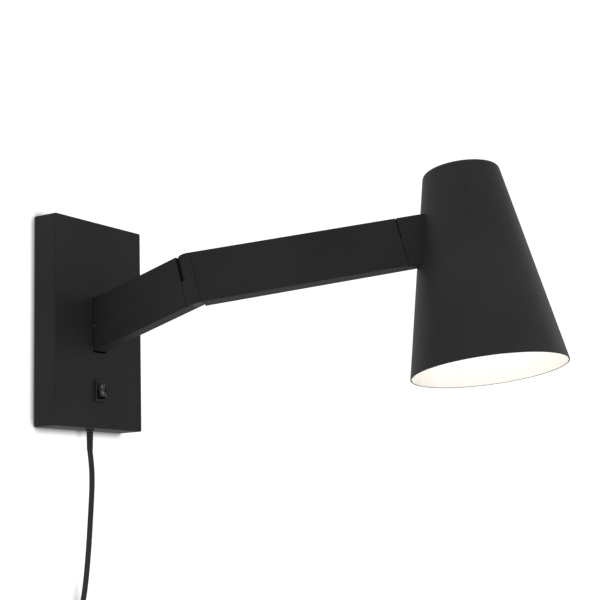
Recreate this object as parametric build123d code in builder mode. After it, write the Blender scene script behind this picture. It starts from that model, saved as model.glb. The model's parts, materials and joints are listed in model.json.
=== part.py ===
"""Swing arm wall sconce: a folded wall box, two flat arms with a lapped elbow, and a cone shade.

Millimetres. The origin is the middle of the wall plate's back, on the wall. +X runs right along
the wall, +Z up, and the arms reach out along -Y. The lamp is modelled with its arms raised and the
elbow part swung.
"""

import os
from math import atan2, cos, pi, radians, sin, tan

from build123d import *

os.makedirs("parts", exist_ok=True)

# ---------------------------------------------------------------- driving dimensions

# Wall plate: a folded steel cover over a flat bracket.
plate_width = 124.0
plate_height = 200.0
plate_depth = 26.0
cover_wall = 1.5
cover_corner_radius = 1.6
cover_edge_radius = 1.2
bracket_thickness = 2.0
bracket_clearance = 0.3
bracket_corner_radius = 4.0
wall_screw_spacing_x = 80.0
wall_screw_spacing_z = 160.0
wall_screw_hole_radius = 2.5
flange_depth = 13.0
top_flange_width = 84.0
bottom_tab_width = 22.0
bottom_tab_offset = 38.0
cover_screw_offset = 30.0
cover_screw_radius = 1.5
cover_screw_head_radius = 3.0
cover_screw_head_height = 1.6
cover_screw_length = 7.0
cover_screw_inset = 6.0
cover_screw_edge_radius = 0.7
cover_screw_socket_radius = 1.2
cover_screw_socket_depth = 0.9

# Arm section and rest angles.
arm_thickness = 15.5
arm_height = 49.5
arm_wall = 1.5
arm_edge_radius = 0.9
arm_pitch = 15.0
elbow_angle = 45.0
head_twist = 5.0
shade_tilt = 7.0

# Root pivot: a tongue on the bracket, inside the open end of the first arm.
pivot_depth = 23.5
pivot_height = -1.0
pivot_travel = 15.0
slot_side_gap = 1.5
slot_end_gap = 0.3
slot_corner_radius = 1.0
root_tail = 11.0
root_corner_radius = 8.0
tongue_thickness = 10.0
tongue_radius = 9.0
tongue_foot_width = 26.0
tongue_foot_height = 32.0
tongue_foot_thickness = 2.5
tongue_foot_corner_radius = 3.0
tongue_screw_x = 9.0
tongue_screw_z = 11.0
tongue_screw_radius = 1.5
tongue_screw_head_radius = 2.6
tongue_screw_head_height = 1.5
root_pin_radius = 2.5
root_pin_recess = 0.2
root_pin_chamfer = 0.3
root_washer_radius = 8.0
running_gap = 0.05
cutting_overrun = 1.0

# Elbow: a knuckle in the end of each arm, the first arm's in the lower half, the second's in the upper.
elbow_distance = 118.5
lap_gap = 1.0
shoulder_overlap = 0.5
pocket_gap = 0.4
knuckle1_seam = 0.5
knuckle2_seam = 0.3
cheek_reach = 2.5
elbow_pin_radius = 4.0
elbow_pin_bore = 2.6
elbow_flange_radius = 5.8
elbow_flange_height = 2.0
tenon_length = 16.0
lower_tenon_height = 12.0
upper_tenon_height = 12.0
elbow_washer_radius = 7.4
spring_washer_height = 1.0
elbow_nut_height = 3.0
pin_projection = 0.5
cap_radius = 4.5
cap_lip_radius = 5.6
cap_lip_height = 1.0

# Second arm and head.
forearm_length = 205.5
end_block_length = 14.0
head_gap = 0.9
spindle_radius = 5.0
spindle_bore = 3.0
spindle_seat = 12.0
head_washer_radius = 7.0
head_nut_radius = 6.1
head_nut_height = 4.0
wire_radius = 1.6
wire1_root_height = -16.0
wire1_elbow_height = -20.0
wire1_step_start = 45.0
wire1_step_end = 60.0
wire1_bend_radius = 2.2
wire1_end_gap = 2.0
wire2_elbow_height = 20.7
wire2_spindle_height = 2.0
wire2_step_start = 60.0
wire2_step_end = 120.0
wire2_bend_radius = 12.0

# Shade: a cone with a closed top, and the lamp holder that hangs in it.
shade_top_radius = 37.5
shade_bottom_radius = 76.0
shade_height = 201.5
shade_wall = 1.2
shade_top_fillet = 5.0
shade_axis_distance = 278.2
shade_rise = 63.4
shade_wire_hole = 4.0
shade_screw_spacing = 28.0
shade_screw_radius = 2.0
shade_screw_head_radius = 3.6
shade_screw_head_height = 2.2
shade_screw_depth = 11.0
shade_screw_seat = 0.2
strap_turn = 73.0
strap_width_angle = 20.0
strap_thickness = 1.5
strap_width = 14.0
strap_level = 17.0
strap_leg_end = 60.0
strap_screw_level = 32.5
strap_rivet_level = 52.5
strap_screw_radius = 1.5
strap_screw_head_radius = 2.7
strap_rivet_head_radius = 1.9
strap_head_height = 0.7
strap_screw_projection = 0.5
nipple_radius = 5.0
nipple_bore = 3.2
nipple_projection = 1.0
nipple_depth = 8.0
holder_nut_radius = 8.5
holder_nut_height = 4.0
holder_radius = 19.5
holder_shoulder_radius = 10.7
holder_cap_height = 14.0
holder_body_height = 40.0
socket_radius = 13.6
socket_depth = 27.0
holder_ring_radius = 22.0
holder_ring_height = 4.0
holder_ring_setback = 16.0
contact_width = 4.0
contact_length = 12.0
contact_thickness = 1.0
bulb_cap_radius = 13.3
bulb_cap_length = 26.0
bulb_tip_height = 3.0
bulb_tip_taper = 60.0
bulb_neck_radius = 14.5
bulb_radius = 30.0
bulb_length = 83.0
bulb_flare_angle = 40.0

# Rocker switch, low on the cover.
switch_height = -64.0
switch_width = 15.0
switch_length = 21.0
bezel_height = 2.0
bezel_corner_radius = 1.2
bezel_edge_radius = 0.6
housing_width = 12.8
housing_length = 18.9
housing_depth = 12.0
rocker_width = 10.0
rocker_length = 14.4
rocker_hole_gap = 0.35
rocker_hole_depth = 9.0
rocker_top = 5.2
rocker_valley = 3.9
rocker_base = -3.0
rocker_bevel = 0.6
rocker_draft = 0.6
rocker_foot_inset = 1.8
rocker_pivot_depth = 24.5
rocker_throw = 10.0
trunnion_radius = 1.1
trunnion_reach = 0.6
trunnion_end_gap = 0.1
terminal_width = 4.8
terminal_thickness = 0.8
terminal_length = 6.5
terminal_spacing = 9.0

# Wiring behind the cover: terminal block, cord clamp and the cord between them.
block_width = 30.0
block_height = 18.0
block_depth = 14.0
block_corner_radius = 2.0
block_x = 36.0
block_z = -40.0
block_pitch_x = 9.0
block_pitch_z = 10.0
block_well_radius = 2.2
block_well_depth = 5.0
block_screw_radius = 2.0
block_screw_height = 3.0
clamp_width = 22.0
clamp_height = 8.0
clamp_z = -88.0
clamp_cover = 1.5
clamp_screw_spacing = 15.0
clamp_screw_radius = 2.6
clamp_screw_height = 1.5
cable_bend_radius = 6.0
cable_turn_low = -79.0
cable_turn_high = -72.0

# Cord, its relief, coil and plug.
cord_diameter = 5.2
relief_depth = 13.0
relief_length = 20.0
relief_top_radius = 3.3
relief_collar_radius = 6.5
relief_collar_height = 2.0
relief_hole_radius = 4.5
relief_flange_height = 1.2
relief_chamfer = 0.6
relief_tip_wall = 0.35
coil_turn_radius = 27.8
coil_layers = 3
coil_back = 1.2
coil_corner_radius = 2.0
coil_left = -5.0
coil_z = -307.0
coil_join = 14.0
plug_drop = 46.0
tie_turn = 65.0
tie_arc = 20.0
tie_thickness = 0.9
plug_width = 26.0
plug_thickness = 13.0
plug_length = 30.0
plug_neck_radius = 4.4
plug_neck_length = 12.0
plug_corner_radius = 5.0
plug_edge_radius = 1.0
blade_spacing = 12.7
blade_width = 6.35
blade_thickness = 1.5
blade_length = 17.0

# ---------------------------------------------------------------- frames

arm_inner_thickness = arm_thickness - 2 * arm_wall
arm_inner_height = arm_height - 2 * arm_wall
half_thickness = arm_thickness / 2
half_height = arm_height / 2
half_inner = arm_inner_thickness / 2
inner_top = half_height - arm_wall
half_lap = lap_gap / 2

# On the wall, facing out: local x is X, local y is Z, and its normal is -Y.
wall_frame = Plane(origin=(0, 0, 0), x_dir=(1, 0, 0), z_dir=(0, -1, 0))

pitch = radians(arm_pitch)
arm1_frame = Plane(
    origin=(0, -pivot_depth, pivot_height),
    x_dir=(0, -cos(pitch), sin(pitch)),
    z_dir=(0, sin(pitch), cos(pitch)),
)

swing = radians(elbow_angle)
arm2_frame = Plane(
    origin=arm1_frame.from_local_coords((elbow_distance, 0, 0)),
    x_dir=arm1_frame.x_dir * cos(swing) + arm1_frame.y_dir * sin(swing),
    z_dir=arm1_frame.z_dir,
)

twist = radians(head_twist)
head_frame = Plane(
    origin=arm2_frame.from_local_coords((forearm_length, 0, 0)),
    x_dir=arm2_frame.x_dir,
    z_dir=arm2_frame.z_dir * cos(twist) - arm2_frame.y_dir * sin(twist),
)

tilt = radians(shade_tilt)
shade_up = head_frame.z_dir * cos(tilt) + head_frame.x_dir * sin(tilt)
shade_cross = head_frame.from_local_coords((shade_axis_distance - forearm_length, 0, 0))
# At the middle of the shade's top; local x points back along the arm, local z up the cone's axis.
shade_frame = Plane(
    origin=shade_cross + shade_up * shade_rise,
    x_dir=head_frame.z_dir * sin(tilt) - head_frame.x_dir * cos(tilt),
    z_dir=shade_up,
)

cone_slope = (shade_bottom_radius - shade_top_radius) / shade_height
cone_half_angle = atan2(shade_bottom_radius - shade_top_radius, shade_height)


def upright(frame, turn=0.0):
    """A plane through the frame's z axis: local x is radial at the turn, local y is the axis."""
    angle = radians(turn)
    radial = frame.x_dir * cos(angle) + frame.y_dir * sin(angle)
    return Plane(origin=frame.origin, x_dir=radial, z_dir=radial.cross(frame.z_dir))


def along(frame, distance, height=0.0):
    """A plane across the frame's x axis: local x is the frame's y, local y its z, normal its x."""
    origin = frame.from_local_coords((distance, 0, height))
    return Plane(origin=origin, x_dir=frame.y_dir, z_dir=frame.x_dir)


def shade_radius(level):
    """The cone's outer radius at a distance below its top."""
    return shade_top_radius + cone_slope * level


def shade_inner_radius(level):
    """The cone's inner radius at a distance below its top."""
    return shade_radius(level) - shade_wall / cos(cone_half_angle)


def shade_wall_distance(height, inside):
    """How far along the head's x axis the shade's near wall stands, at a height on the head."""
    top_radius = shade_inner_radius(0) if inside else shade_radius(0)
    top_height = shade_rise * cos(tilt)
    level = (top_height - height + top_radius * sin(tilt)) / (cos(tilt) - cone_slope * sin(tilt))
    axis_distance = shade_axis_distance - forearm_length + (shade_rise - level) * sin(tilt)
    return axis_distance - (top_radius + cone_slope * level) * cos(tilt)


def long_edges(shell, frame, longer_than):
    """The edges of a shell's top and bottom faces that are longer than a length."""
    faces = shell.faces().sort_by(Axis(frame.origin, frame.z_dir))
    return [edge for face in (faces[0], faces[-1]) for edge in face.edges() if edge.length > longer_than]


def write(piece, node):
    """Labels a finished piece and writes it as one STEP file."""
    piece.part.label = node
    export_step(piece.part, f"parts/{node}.step")


# ---------------------------------------------------------------- wall plate

inside_width = plate_width - 2 * cover_wall
inside_height = plate_height - 2 * cover_wall
bracket_width = inside_width - 2 * bracket_clearance
bracket_height = inside_height - 2 * bracket_clearance
cover_screw_depth = flange_depth - cover_screw_inset
cover_screw_places = (
    (-cover_screw_offset, -cover_screw_depth),
    (cover_screw_offset, -cover_screw_depth),
)
relief_plane = Plane(origin=(0, -relief_depth, -plate_height / 2))

with BuildPart() as wall_bracket:
    with BuildSketch(wall_frame):
        RectangleRounded(bracket_width, bracket_height, bracket_corner_radius)
    extrude(amount=bracket_thickness)
    with BuildSketch(wall_frame):
        with Locations((0, bracket_height / 2 - bracket_thickness / 2)):
            Rectangle(top_flange_width, bracket_thickness)
        with Locations(
            (-bottom_tab_offset, (bracket_thickness - bracket_height) / 2),
            (bottom_tab_offset, (bracket_thickness - bracket_height) / 2),
        ):
            Rectangle(bottom_tab_width, bracket_thickness)
    extrude(amount=flange_depth)
    with BuildSketch(wall_frame):
        with GridLocations(wall_screw_spacing_x, wall_screw_spacing_z, 2, 2):
            Circle(wall_screw_hole_radius)
    extrude(amount=bracket_thickness, mode=Mode.SUBTRACT)
    with BuildSketch(wall_frame):
        with Locations((0, pivot_height)):
            with GridLocations(2 * tongue_screw_x, 2 * tongue_screw_z, 2, 2):
                Circle(tongue_screw_radius)
    extrude(amount=bracket_thickness, mode=Mode.SUBTRACT)
    with BuildSketch(Plane.XY.offset(bracket_height / 2 - bracket_thickness)):
        with Locations(*cover_screw_places):
            Circle(cover_screw_radius)
    extrude(amount=bracket_thickness, mode=Mode.SUBTRACT)
write(wall_bracket, "wall_bracket")

# The slot is as tall as the arm's section where it crosses the cover, at either end of its travel.
slot_width = arm_thickness + 2 * slot_side_gap
travel = radians(pivot_travel)
pivot_to_front = plate_depth - pivot_depth
slot_height = 2 * (pivot_to_front * tan(travel) + half_height / cos(travel) + slot_end_gap)

with BuildPart() as wall_cover:
    with BuildSketch(wall_frame):
        RectangleRounded(plate_width, plate_height, cover_corner_radius)
    extrude(amount=plate_depth)
    fillet(wall_cover.faces().sort_by(Axis.Y)[0].edges(), cover_edge_radius)
    with BuildSketch(wall_frame):
        Rectangle(inside_width, inside_height)
    extrude(amount=plate_depth - cover_wall, mode=Mode.SUBTRACT)
    with BuildSketch(wall_frame.offset(plate_depth - 2 * cover_wall)):
        with Locations((0, pivot_height)):
            RectangleRounded(slot_width, slot_height, slot_corner_radius)
        with Locations((0, switch_height)):
            Rectangle(housing_width, housing_length)
    extrude(amount=3 * cover_wall, mode=Mode.SUBTRACT)
    with BuildSketch(relief_plane):
        Circle(relief_hole_radius)
    extrude(amount=cover_wall, mode=Mode.SUBTRACT)
    with BuildSketch(Plane.XY.offset(plate_height / 2 - cover_wall)):
        with Locations(*cover_screw_places):
            Circle(cover_screw_radius)
    extrude(amount=cover_wall, mode=Mode.SUBTRACT)
write(wall_cover, "wall_cover")

with BuildPart() as cover_screws:
    with BuildSketch(Plane.XY.offset(plate_height / 2 + cover_screw_head_height - cover_screw_length)):
        with Locations(*cover_screw_places):
            Circle(cover_screw_radius)
    extrude(amount=cover_screw_length)
    with BuildSketch(Plane.XY.offset(plate_height / 2)):
        with Locations(*cover_screw_places):
            Circle(cover_screw_head_radius)
    extrude(amount=cover_screw_head_height)
    fillet(cover_screws.faces().group_by(Axis.Z)[-1].edges(), cover_screw_edge_radius)
    with BuildSketch(Plane.XY.offset(plate_height / 2 + cover_screw_head_height - cover_screw_socket_depth)):
        with Locations(*cover_screw_places):
            RegularPolygon(cover_screw_socket_radius, 6)
    extrude(amount=cover_screw_socket_depth, mode=Mode.SUBTRACT)
write(cover_screws, "cover_screws")

# ---------------------------------------------------------------- root pivot

# Through the pivot, square to its axis: local x points out from the wall, local y up.
pivot_side = Plane(origin=(0, -pivot_depth, pivot_height), x_dir=(0, -1, 0), z_dir=(-1, 0, 0))
bracket_face = bracket_thickness - pivot_depth

with BuildPart() as root_tongue:
    with BuildSketch(pivot_side):
        Circle(tongue_radius)
        with Locations((bracket_face / 2, 0)):
            Rectangle(-bracket_face, 2 * tongue_radius)
    extrude(amount=tongue_thickness / 2, both=True)
    with BuildSketch(wall_frame.offset(bracket_thickness)):
        with Locations((0, pivot_height)):
            RectangleRounded(tongue_foot_width, tongue_foot_height, tongue_foot_corner_radius)
    extrude(amount=tongue_foot_thickness)
    with BuildSketch(wall_frame.offset(bracket_thickness)):
        with Locations((0, pivot_height)):
            with GridLocations(2 * tongue_screw_x, 2 * tongue_screw_z, 2, 2):
                Circle(tongue_screw_radius)
    extrude(amount=tongue_foot_thickness, mode=Mode.SUBTRACT)
    with BuildSketch(pivot_side):
        Circle(root_pin_radius + running_gap)
    extrude(amount=tongue_thickness, both=True, mode=Mode.SUBTRACT)
write(root_tongue, "root_tongue")

with BuildPart() as tongue_screws:
    with BuildSketch(wall_frame):
        with Locations((0, pivot_height)):
            with GridLocations(2 * tongue_screw_x, 2 * tongue_screw_z, 2, 2):
                Circle(tongue_screw_radius)
    extrude(amount=bracket_thickness + tongue_foot_thickness + tongue_screw_head_height)
    with BuildSketch(wall_frame.offset(bracket_thickness + tongue_foot_thickness)):
        with Locations((0, pivot_height)):
            with GridLocations(2 * tongue_screw_x, 2 * tongue_screw_z, 2, 2):
                Circle(tongue_screw_head_radius)
    extrude(amount=tongue_screw_head_height)
write(tongue_screws, "tongue_screws")

root_pin_length = arm_thickness - 2 * root_pin_recess

with BuildPart() as root_pin:
    with BuildSketch(pivot_side):
        Circle(root_pin_radius)
    extrude(amount=root_pin_length / 2, both=True)
    chamfer(root_pin.edges().filter_by(GeomType.CIRCLE), root_pin_chamfer)
write(root_pin, "root_pin")

with BuildPart() as root_washers:
    for side in (-1, 1):
        with BuildSketch(pivot_side.offset(side * half_inner)):
            Circle(root_washer_radius)
            Circle(root_pin_radius, mode=Mode.SUBTRACT)
        extrude(amount=-side * (half_inner - tongue_thickness / 2 - running_gap))
write(root_washers, "root_washers")

# ---------------------------------------------------------------- first arm

arm1_side = Plane(origin=arm1_frame.origin, x_dir=arm1_frame.x_dir, z_dir=-arm1_frame.y_dir)
pocket_radius = half_thickness + pocket_gap
tube1_end = elbow_distance - half_thickness + shoulder_overlap
knuckle1_start = tube1_end + knuckle1_seam
lower_tenon_bottom = -half_lap - arm_wall - lower_tenon_height

with BuildPart() as arm1_shell:
    with BuildSketch(arm1_frame.offset(-half_height)):
        with Locations(((tube1_end - root_tail) / 2, 0)):
            Rectangle(tube1_end + root_tail, arm_thickness)
    extrude(amount=arm_height)
    root_end = arm1_shell.faces().sort_by(Axis(arm1_frame.origin, arm1_frame.x_dir))[0]
    fillet(root_end.edges().filter_by(Axis(arm1_frame.origin, arm1_frame.y_dir)), root_corner_radius)
    fillet(long_edges(arm1_shell, arm1_frame, arm_thickness + cutting_overrun), arm_edge_radius)
    # The lap: the upper half is scooped out round the second arm's knuckle, and cut square on the
    # side that the second arm folds towards.
    with BuildSketch(arm1_frame.offset(-half_lap)):
        with Locations((elbow_distance, 0)):
            Circle(pocket_radius)
        with Locations((elbow_distance + (arm_thickness - pocket_radius) / 2, arm_thickness / 2)):
            Rectangle(pocket_radius + arm_thickness, arm_thickness)
    extrude(amount=arm_height, mode=Mode.SUBTRACT)
    # The hollow, open at the root and, below the lap, at the elbow.
    main_end = elbow_distance - pocket_radius - arm_wall
    with BuildSketch(arm1_frame.offset(-inner_top)):
        with Locations(((main_end - root_tail - cutting_overrun) / 2, 0)):
            Rectangle(main_end + root_tail + cutting_overrun, arm_inner_thickness)
    extrude(amount=arm_inner_height, mode=Mode.SUBTRACT)
    with BuildSketch(arm1_frame.offset(-inner_top)):
        with Locations(((main_end + elbow_distance - cutting_overrun) / 2, 0)):
            Rectangle(elbow_distance - main_end + cutting_overrun, arm_inner_thickness)
    extrude(amount=inner_top - half_lap - arm_wall, mode=Mode.SUBTRACT)
    with BuildSketch(arm1_side):
        Circle(root_pin_radius)
    extrude(amount=arm_thickness, both=True, mode=Mode.SUBTRACT)
write(arm1_shell, "arm1_shell")

# A casting: the round half that shows is flush with the arm, and its tenon fills the arm's end.
with BuildPart() as elbow_lower_knuckle:
    with BuildSketch(arm1_frame.offset(-half_height)):
        with Locations((elbow_distance, 0)):
            Circle(half_thickness)
        with Locations((knuckle1_start - half_thickness, 0)):
            Rectangle(arm_thickness, arm_thickness, mode=Mode.SUBTRACT)
        with Locations(((knuckle1_start + elbow_distance) / 2, 0)):
            Rectangle(elbow_distance - knuckle1_start, arm_thickness)
    extrude(amount=half_height - half_lap)
    underside = elbow_lower_knuckle.faces().sort_by(Axis(arm1_frame.origin, arm1_frame.z_dir))[0]
    fillet(underside.edges().sort_by(Axis(arm1_frame.origin, arm1_frame.x_dir))[1:], arm_edge_radius)
    with BuildSketch(arm1_frame.offset(lower_tenon_bottom)):
        with Locations((elbow_distance - tenon_length / 2, 0)):
            Rectangle(tenon_length, arm_inner_thickness)
    extrude(amount=lower_tenon_height)
    with BuildSketch(arm1_frame.offset(-inner_top)):
        with Locations(((knuckle1_start + elbow_distance - cutting_overrun) / 2, 0)):
            Rectangle(elbow_distance - knuckle1_start + cutting_overrun, arm_inner_thickness)
        with Locations((elbow_distance, 0)):
            Circle(half_inner)
    extrude(amount=inner_top + lower_tenon_bottom, mode=Mode.SUBTRACT)
    with BuildSketch(arm1_frame.offset(lower_tenon_bottom)):
        with Locations((elbow_distance, 0)):
            Circle(elbow_pin_radius)
    extrude(amount=lower_tenon_height + arm_wall, mode=Mode.SUBTRACT)
    with BuildSketch(arm1_frame.offset(-half_height)):
        with Locations((elbow_distance, 0)):
            Circle(cap_radius)
    extrude(amount=arm_wall, mode=Mode.SUBTRACT)
write(elbow_lower_knuckle, "elbow_lower_knuckle")

upper_tenon_top = half_lap + arm_wall + upper_tenon_height
pin_bottom = lower_tenon_bottom - elbow_flange_height
pin_top = upper_tenon_top + spring_washer_height + elbow_nut_height + pin_projection

with BuildPart() as elbow_pin:
    with BuildSketch(arm2_frame.offset(pin_bottom)):
        Circle(elbow_flange_radius)
    extrude(amount=elbow_flange_height)
    with BuildSketch(arm2_frame.offset(pin_bottom)):
        Circle(elbow_pin_radius)
    extrude(amount=pin_top - pin_bottom)
    with BuildSketch(arm2_frame.offset(pin_bottom)):
        Circle(elbow_pin_bore)
    extrude(amount=pin_top - pin_bottom, mode=Mode.SUBTRACT)
write(elbow_pin, "elbow_pin")

with BuildPart() as elbow_washer:
    with BuildSketch(arm2_frame.offset(-half_lap)):
        Circle(elbow_washer_radius)
        Circle(elbow_pin_radius, mode=Mode.SUBTRACT)
    extrude(amount=lap_gap - running_gap)
write(elbow_washer, "elbow_washer")

with BuildPart() as elbow_spring_washer:
    with BuildSketch(arm2_frame.offset(upper_tenon_top + running_gap)):
        Circle(elbow_flange_radius)
        Circle(elbow_pin_radius, mode=Mode.SUBTRACT)
    extrude(amount=spring_washer_height - running_gap)
write(elbow_spring_washer, "elbow_spring_washer")

with BuildPart() as elbow_nut:
    with BuildSketch(arm2_frame.offset(upper_tenon_top + spring_washer_height)):
        RegularPolygon(elbow_flange_radius, 6)
        Circle(elbow_pin_radius, mode=Mode.SUBTRACT)
    extrude(amount=elbow_nut_height)
write(elbow_nut, "elbow_nut")

with BuildPart() as elbow_cap:
    with BuildSketch(arm2_frame.offset(-half_height)):
        Circle(cap_radius)
    extrude(amount=arm_wall)
    with BuildSketch(arm2_frame.offset(-inner_top)):
        Circle(cap_lip_radius)
    extrude(amount=cap_lip_height)
write(elbow_cap, "elbow_cap")

# ---------------------------------------------------------------- second arm

arm2_hollow_start = pocket_radius + arm_wall
knuckle2_start = cheek_reach - knuckle2_seam

with BuildPart() as arm2_shell:
    with BuildSketch(arm2_frame.offset(-half_height)):
        with Locations(((cheek_reach + forearm_length) / 2, 0)):
            Rectangle(forearm_length - cheek_reach, arm_thickness)
    extrude(amount=arm_height)
    fillet(long_edges(arm2_shell, arm2_frame, arm_thickness + cutting_overrun), arm_edge_radius)
    # The lap: the lower half is scooped out round the first arm's knuckle, and cut square on the side
    # that the arm folds towards. The cheek left on the other side stops the arm past straight.
    with BuildSketch(arm2_frame.offset(half_lap)):
        Circle(pocket_radius)
        with Locations(((pocket_radius - arm_thickness) / 2, arm_thickness / 2)):
            Rectangle(pocket_radius + arm_thickness, arm_thickness)
    extrude(amount=-arm_height, mode=Mode.SUBTRACT)
    # The hollow, open at the head end and, above the lap, at the elbow.
    with BuildSketch(arm2_frame.offset(-inner_top)):
        with Locations(((arm2_hollow_start + forearm_length + cutting_overrun) / 2, 0)):
            Rectangle(forearm_length + cutting_overrun - arm2_hollow_start, arm_inner_thickness)
    extrude(amount=arm_inner_height, mode=Mode.SUBTRACT)
    with BuildSketch(arm2_frame.offset(half_lap + arm_wall)):
        with Locations(((arm2_hollow_start + cutting_overrun) / 2, 0)):
            Rectangle(arm2_hollow_start + cutting_overrun, arm_inner_thickness)
    extrude(amount=inner_top - half_lap - arm_wall, mode=Mode.SUBTRACT)
    with BuildSketch(arm2_frame.offset(half_lap)):
        Circle(elbow_pin_radius + running_gap)
    extrude(amount=arm_wall, mode=Mode.SUBTRACT)
write(arm2_shell, "arm2_shell")

with BuildPart() as elbow_upper_knuckle:
    with BuildSketch(arm2_frame.offset(half_lap)):
        Circle(half_thickness)
        with Locations((knuckle2_start + half_thickness, 0)):
            Rectangle(arm_thickness, arm_thickness, mode=Mode.SUBTRACT)
        with Locations((knuckle2_start / 2, 0)):
            Rectangle(knuckle2_start, arm_thickness)
    extrude(amount=half_height - half_lap)
    top_side = elbow_upper_knuckle.faces().sort_by(Axis(arm2_frame.origin, arm2_frame.z_dir))[-1]
    fillet(top_side.edges().sort_by(Axis(arm2_frame.origin, arm2_frame.x_dir))[:-1], arm_edge_radius)
    with BuildSketch(arm2_frame.offset(half_lap + arm_wall)):
        with Locations((tenon_length / 2, 0)):
            Rectangle(tenon_length, arm_inner_thickness)
    extrude(amount=upper_tenon_height)
    with BuildSketch(arm2_frame.offset(upper_tenon_top)):
        Circle(half_inner)
        with Locations(((knuckle2_start + cutting_overrun) / 2, 0)):
            Rectangle(knuckle2_start + cutting_overrun, arm_inner_thickness)
    extrude(amount=inner_top - upper_tenon_top, mode=Mode.SUBTRACT)
    with BuildSketch(arm2_frame.offset(half_lap)):
        Circle(elbow_pin_radius + running_gap)
    extrude(amount=arm_wall + upper_tenon_height, mode=Mode.SUBTRACT)
write(elbow_upper_knuckle, "elbow_upper_knuckle")

with BuildPart() as arm2_end_block:
    with BuildSketch(along(arm2_frame, forearm_length - end_block_length)):
        Rectangle(arm_inner_thickness, arm_inner_height)
        Circle(spindle_radius + running_gap, mode=Mode.SUBTRACT)
    extrude(amount=end_block_length)
write(arm2_end_block, "arm2_end_block")

# ---------------------------------------------------------------- head

spindle_start = -end_block_length - spring_washer_height - head_nut_height - pin_projection
head_length = shade_axis_distance - forearm_length

with BuildPart() as shade_body:
    with BuildSketch(upright(shade_frame)):
        Polygon(
            (0, 0),
            (shade_top_radius, 0),
            (shade_bottom_radius, -shade_height),
            (0, -shade_height),
            align=None,
        )
    revolve(axis=Axis(shade_frame.origin, shade_frame.z_dir))

with BuildPart() as head_block:
    with BuildSketch(along(head_frame, head_gap)):
        Rectangle(arm_thickness, arm_height)
    extrude(amount=head_length - head_gap)
    fillet(head_block.edges().filter_by(Axis(head_frame.origin, head_frame.x_dir)), arm_edge_radius)
    add(shade_body.part, mode=Mode.SUBTRACT)
    with BuildSketch(along(head_frame, head_gap)):
        Circle(spindle_radius)
    extrude(amount=spindle_seat, mode=Mode.SUBTRACT)
    with BuildSketch(along(head_frame, head_gap)):
        Circle(spindle_bore)
    extrude(amount=head_length, mode=Mode.SUBTRACT)
    for side in (-1, 1):
        screw_height = side * shade_screw_spacing / 2
        screw_end = shade_wall_distance(screw_height, inside=False) - shade_screw_depth
        with BuildSketch(along(head_frame, screw_end, screw_height)):
            Circle(shade_screw_radius)
        extrude(amount=head_length, mode=Mode.SUBTRACT)
write(head_block, "head_block")

with BuildPart() as head_spindle:
    with BuildSketch(along(head_frame, spindle_start)):
        Circle(spindle_radius)
        Circle(spindle_bore, mode=Mode.SUBTRACT)
    extrude(amount=head_gap + spindle_seat - spindle_start)
write(head_spindle, "head_spindle")

with BuildPart() as head_washer:
    with BuildSketch(along(head_frame, running_gap)):
        Circle(head_washer_radius)
        Circle(spindle_radius, mode=Mode.SUBTRACT)
    extrude(amount=head_gap - running_gap)
write(head_washer, "head_washer")

with BuildPart() as head_spring_washer:
    with BuildSketch(along(head_frame, -end_block_length - running_gap)):
        Circle(head_nut_radius)
        Circle(spindle_radius, mode=Mode.SUBTRACT)
    extrude(amount=running_gap - spring_washer_height)
write(head_spring_washer, "head_spring_washer")

with BuildPart() as head_nut:
    with BuildSketch(along(head_frame, -end_block_length - spring_washer_height)):
        RegularPolygon(head_nut_radius, 6)
        Circle(spindle_radius, mode=Mode.SUBTRACT)
    extrude(amount=-head_nut_height)
write(head_nut, "head_nut")

# ---------------------------------------------------------------- shade


def strap_plane(level, turn):
    """A plane on the cone's outside at a level below its top and a turn, facing straight out."""
    angle = radians(turn)
    radial = shade_frame.x_dir * cos(angle) + shade_frame.y_dir * sin(angle)
    outward = radial * cos(cone_half_angle) + shade_up * sin(cone_half_angle)
    origin = shade_frame.origin - shade_up * level + radial * shade_radius(level)
    return Plane(origin=origin, x_dir=radial.cross(shade_up), z_dir=outward)


strap_turns = (strap_turn, strap_turn + 180)
strap_levels = (strap_screw_level, strap_rivet_level)
strap_head_radii = (strap_screw_head_radius, strap_rivet_head_radius)
strap_stack = shade_wall + strap_thickness

with BuildPart() as shade:
    with BuildSketch(upright(shade_frame)):
        with BuildLine():
            Polyline(
                (0, 0),
                (shade_top_radius, 0),
                (shade_bottom_radius, -shade_height),
                (shade_inner_radius(shade_height), -shade_height),
                (shade_inner_radius(shade_wall), -shade_wall),
                (0, -shade_wall),
                close=True,
            )
        make_face()
    revolve(axis=Axis(shade_frame.origin, shade_frame.z_dir))
    circles = shade.edges().filter_by(GeomType.CIRCLE)
    rim_of_top = circles.filter_by(lambda edge: abs(edge.radius - shade_top_radius) < 0.01)
    fillet(rim_of_top, shade_top_fillet)
    inner_circles = shade.edges().filter_by(GeomType.CIRCLE)
    inner_corner_radius = shade_inner_radius(shade_wall)
    inner_corner = inner_circles.filter_by(lambda edge: abs(edge.radius - inner_corner_radius) < 0.01)
    fillet(inner_corner, shade_top_fillet - shade_wall)
    with BuildSketch(along(head_frame, 0)):
        Circle(shade_wire_hole)
        with Locations((0, -shade_screw_spacing / 2), (0, shade_screw_spacing / 2)):
            Circle(shade_screw_radius)
    extrude(amount=head_length, mode=Mode.SUBTRACT)
    for turn in strap_turns:
        for level in strap_levels:
            with BuildSketch(strap_plane(level, turn)):
                Circle(strap_screw_radius)
            extrude(amount=2 * strap_stack, both=True, mode=Mode.SUBTRACT)
write(shade, "shade")

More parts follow.
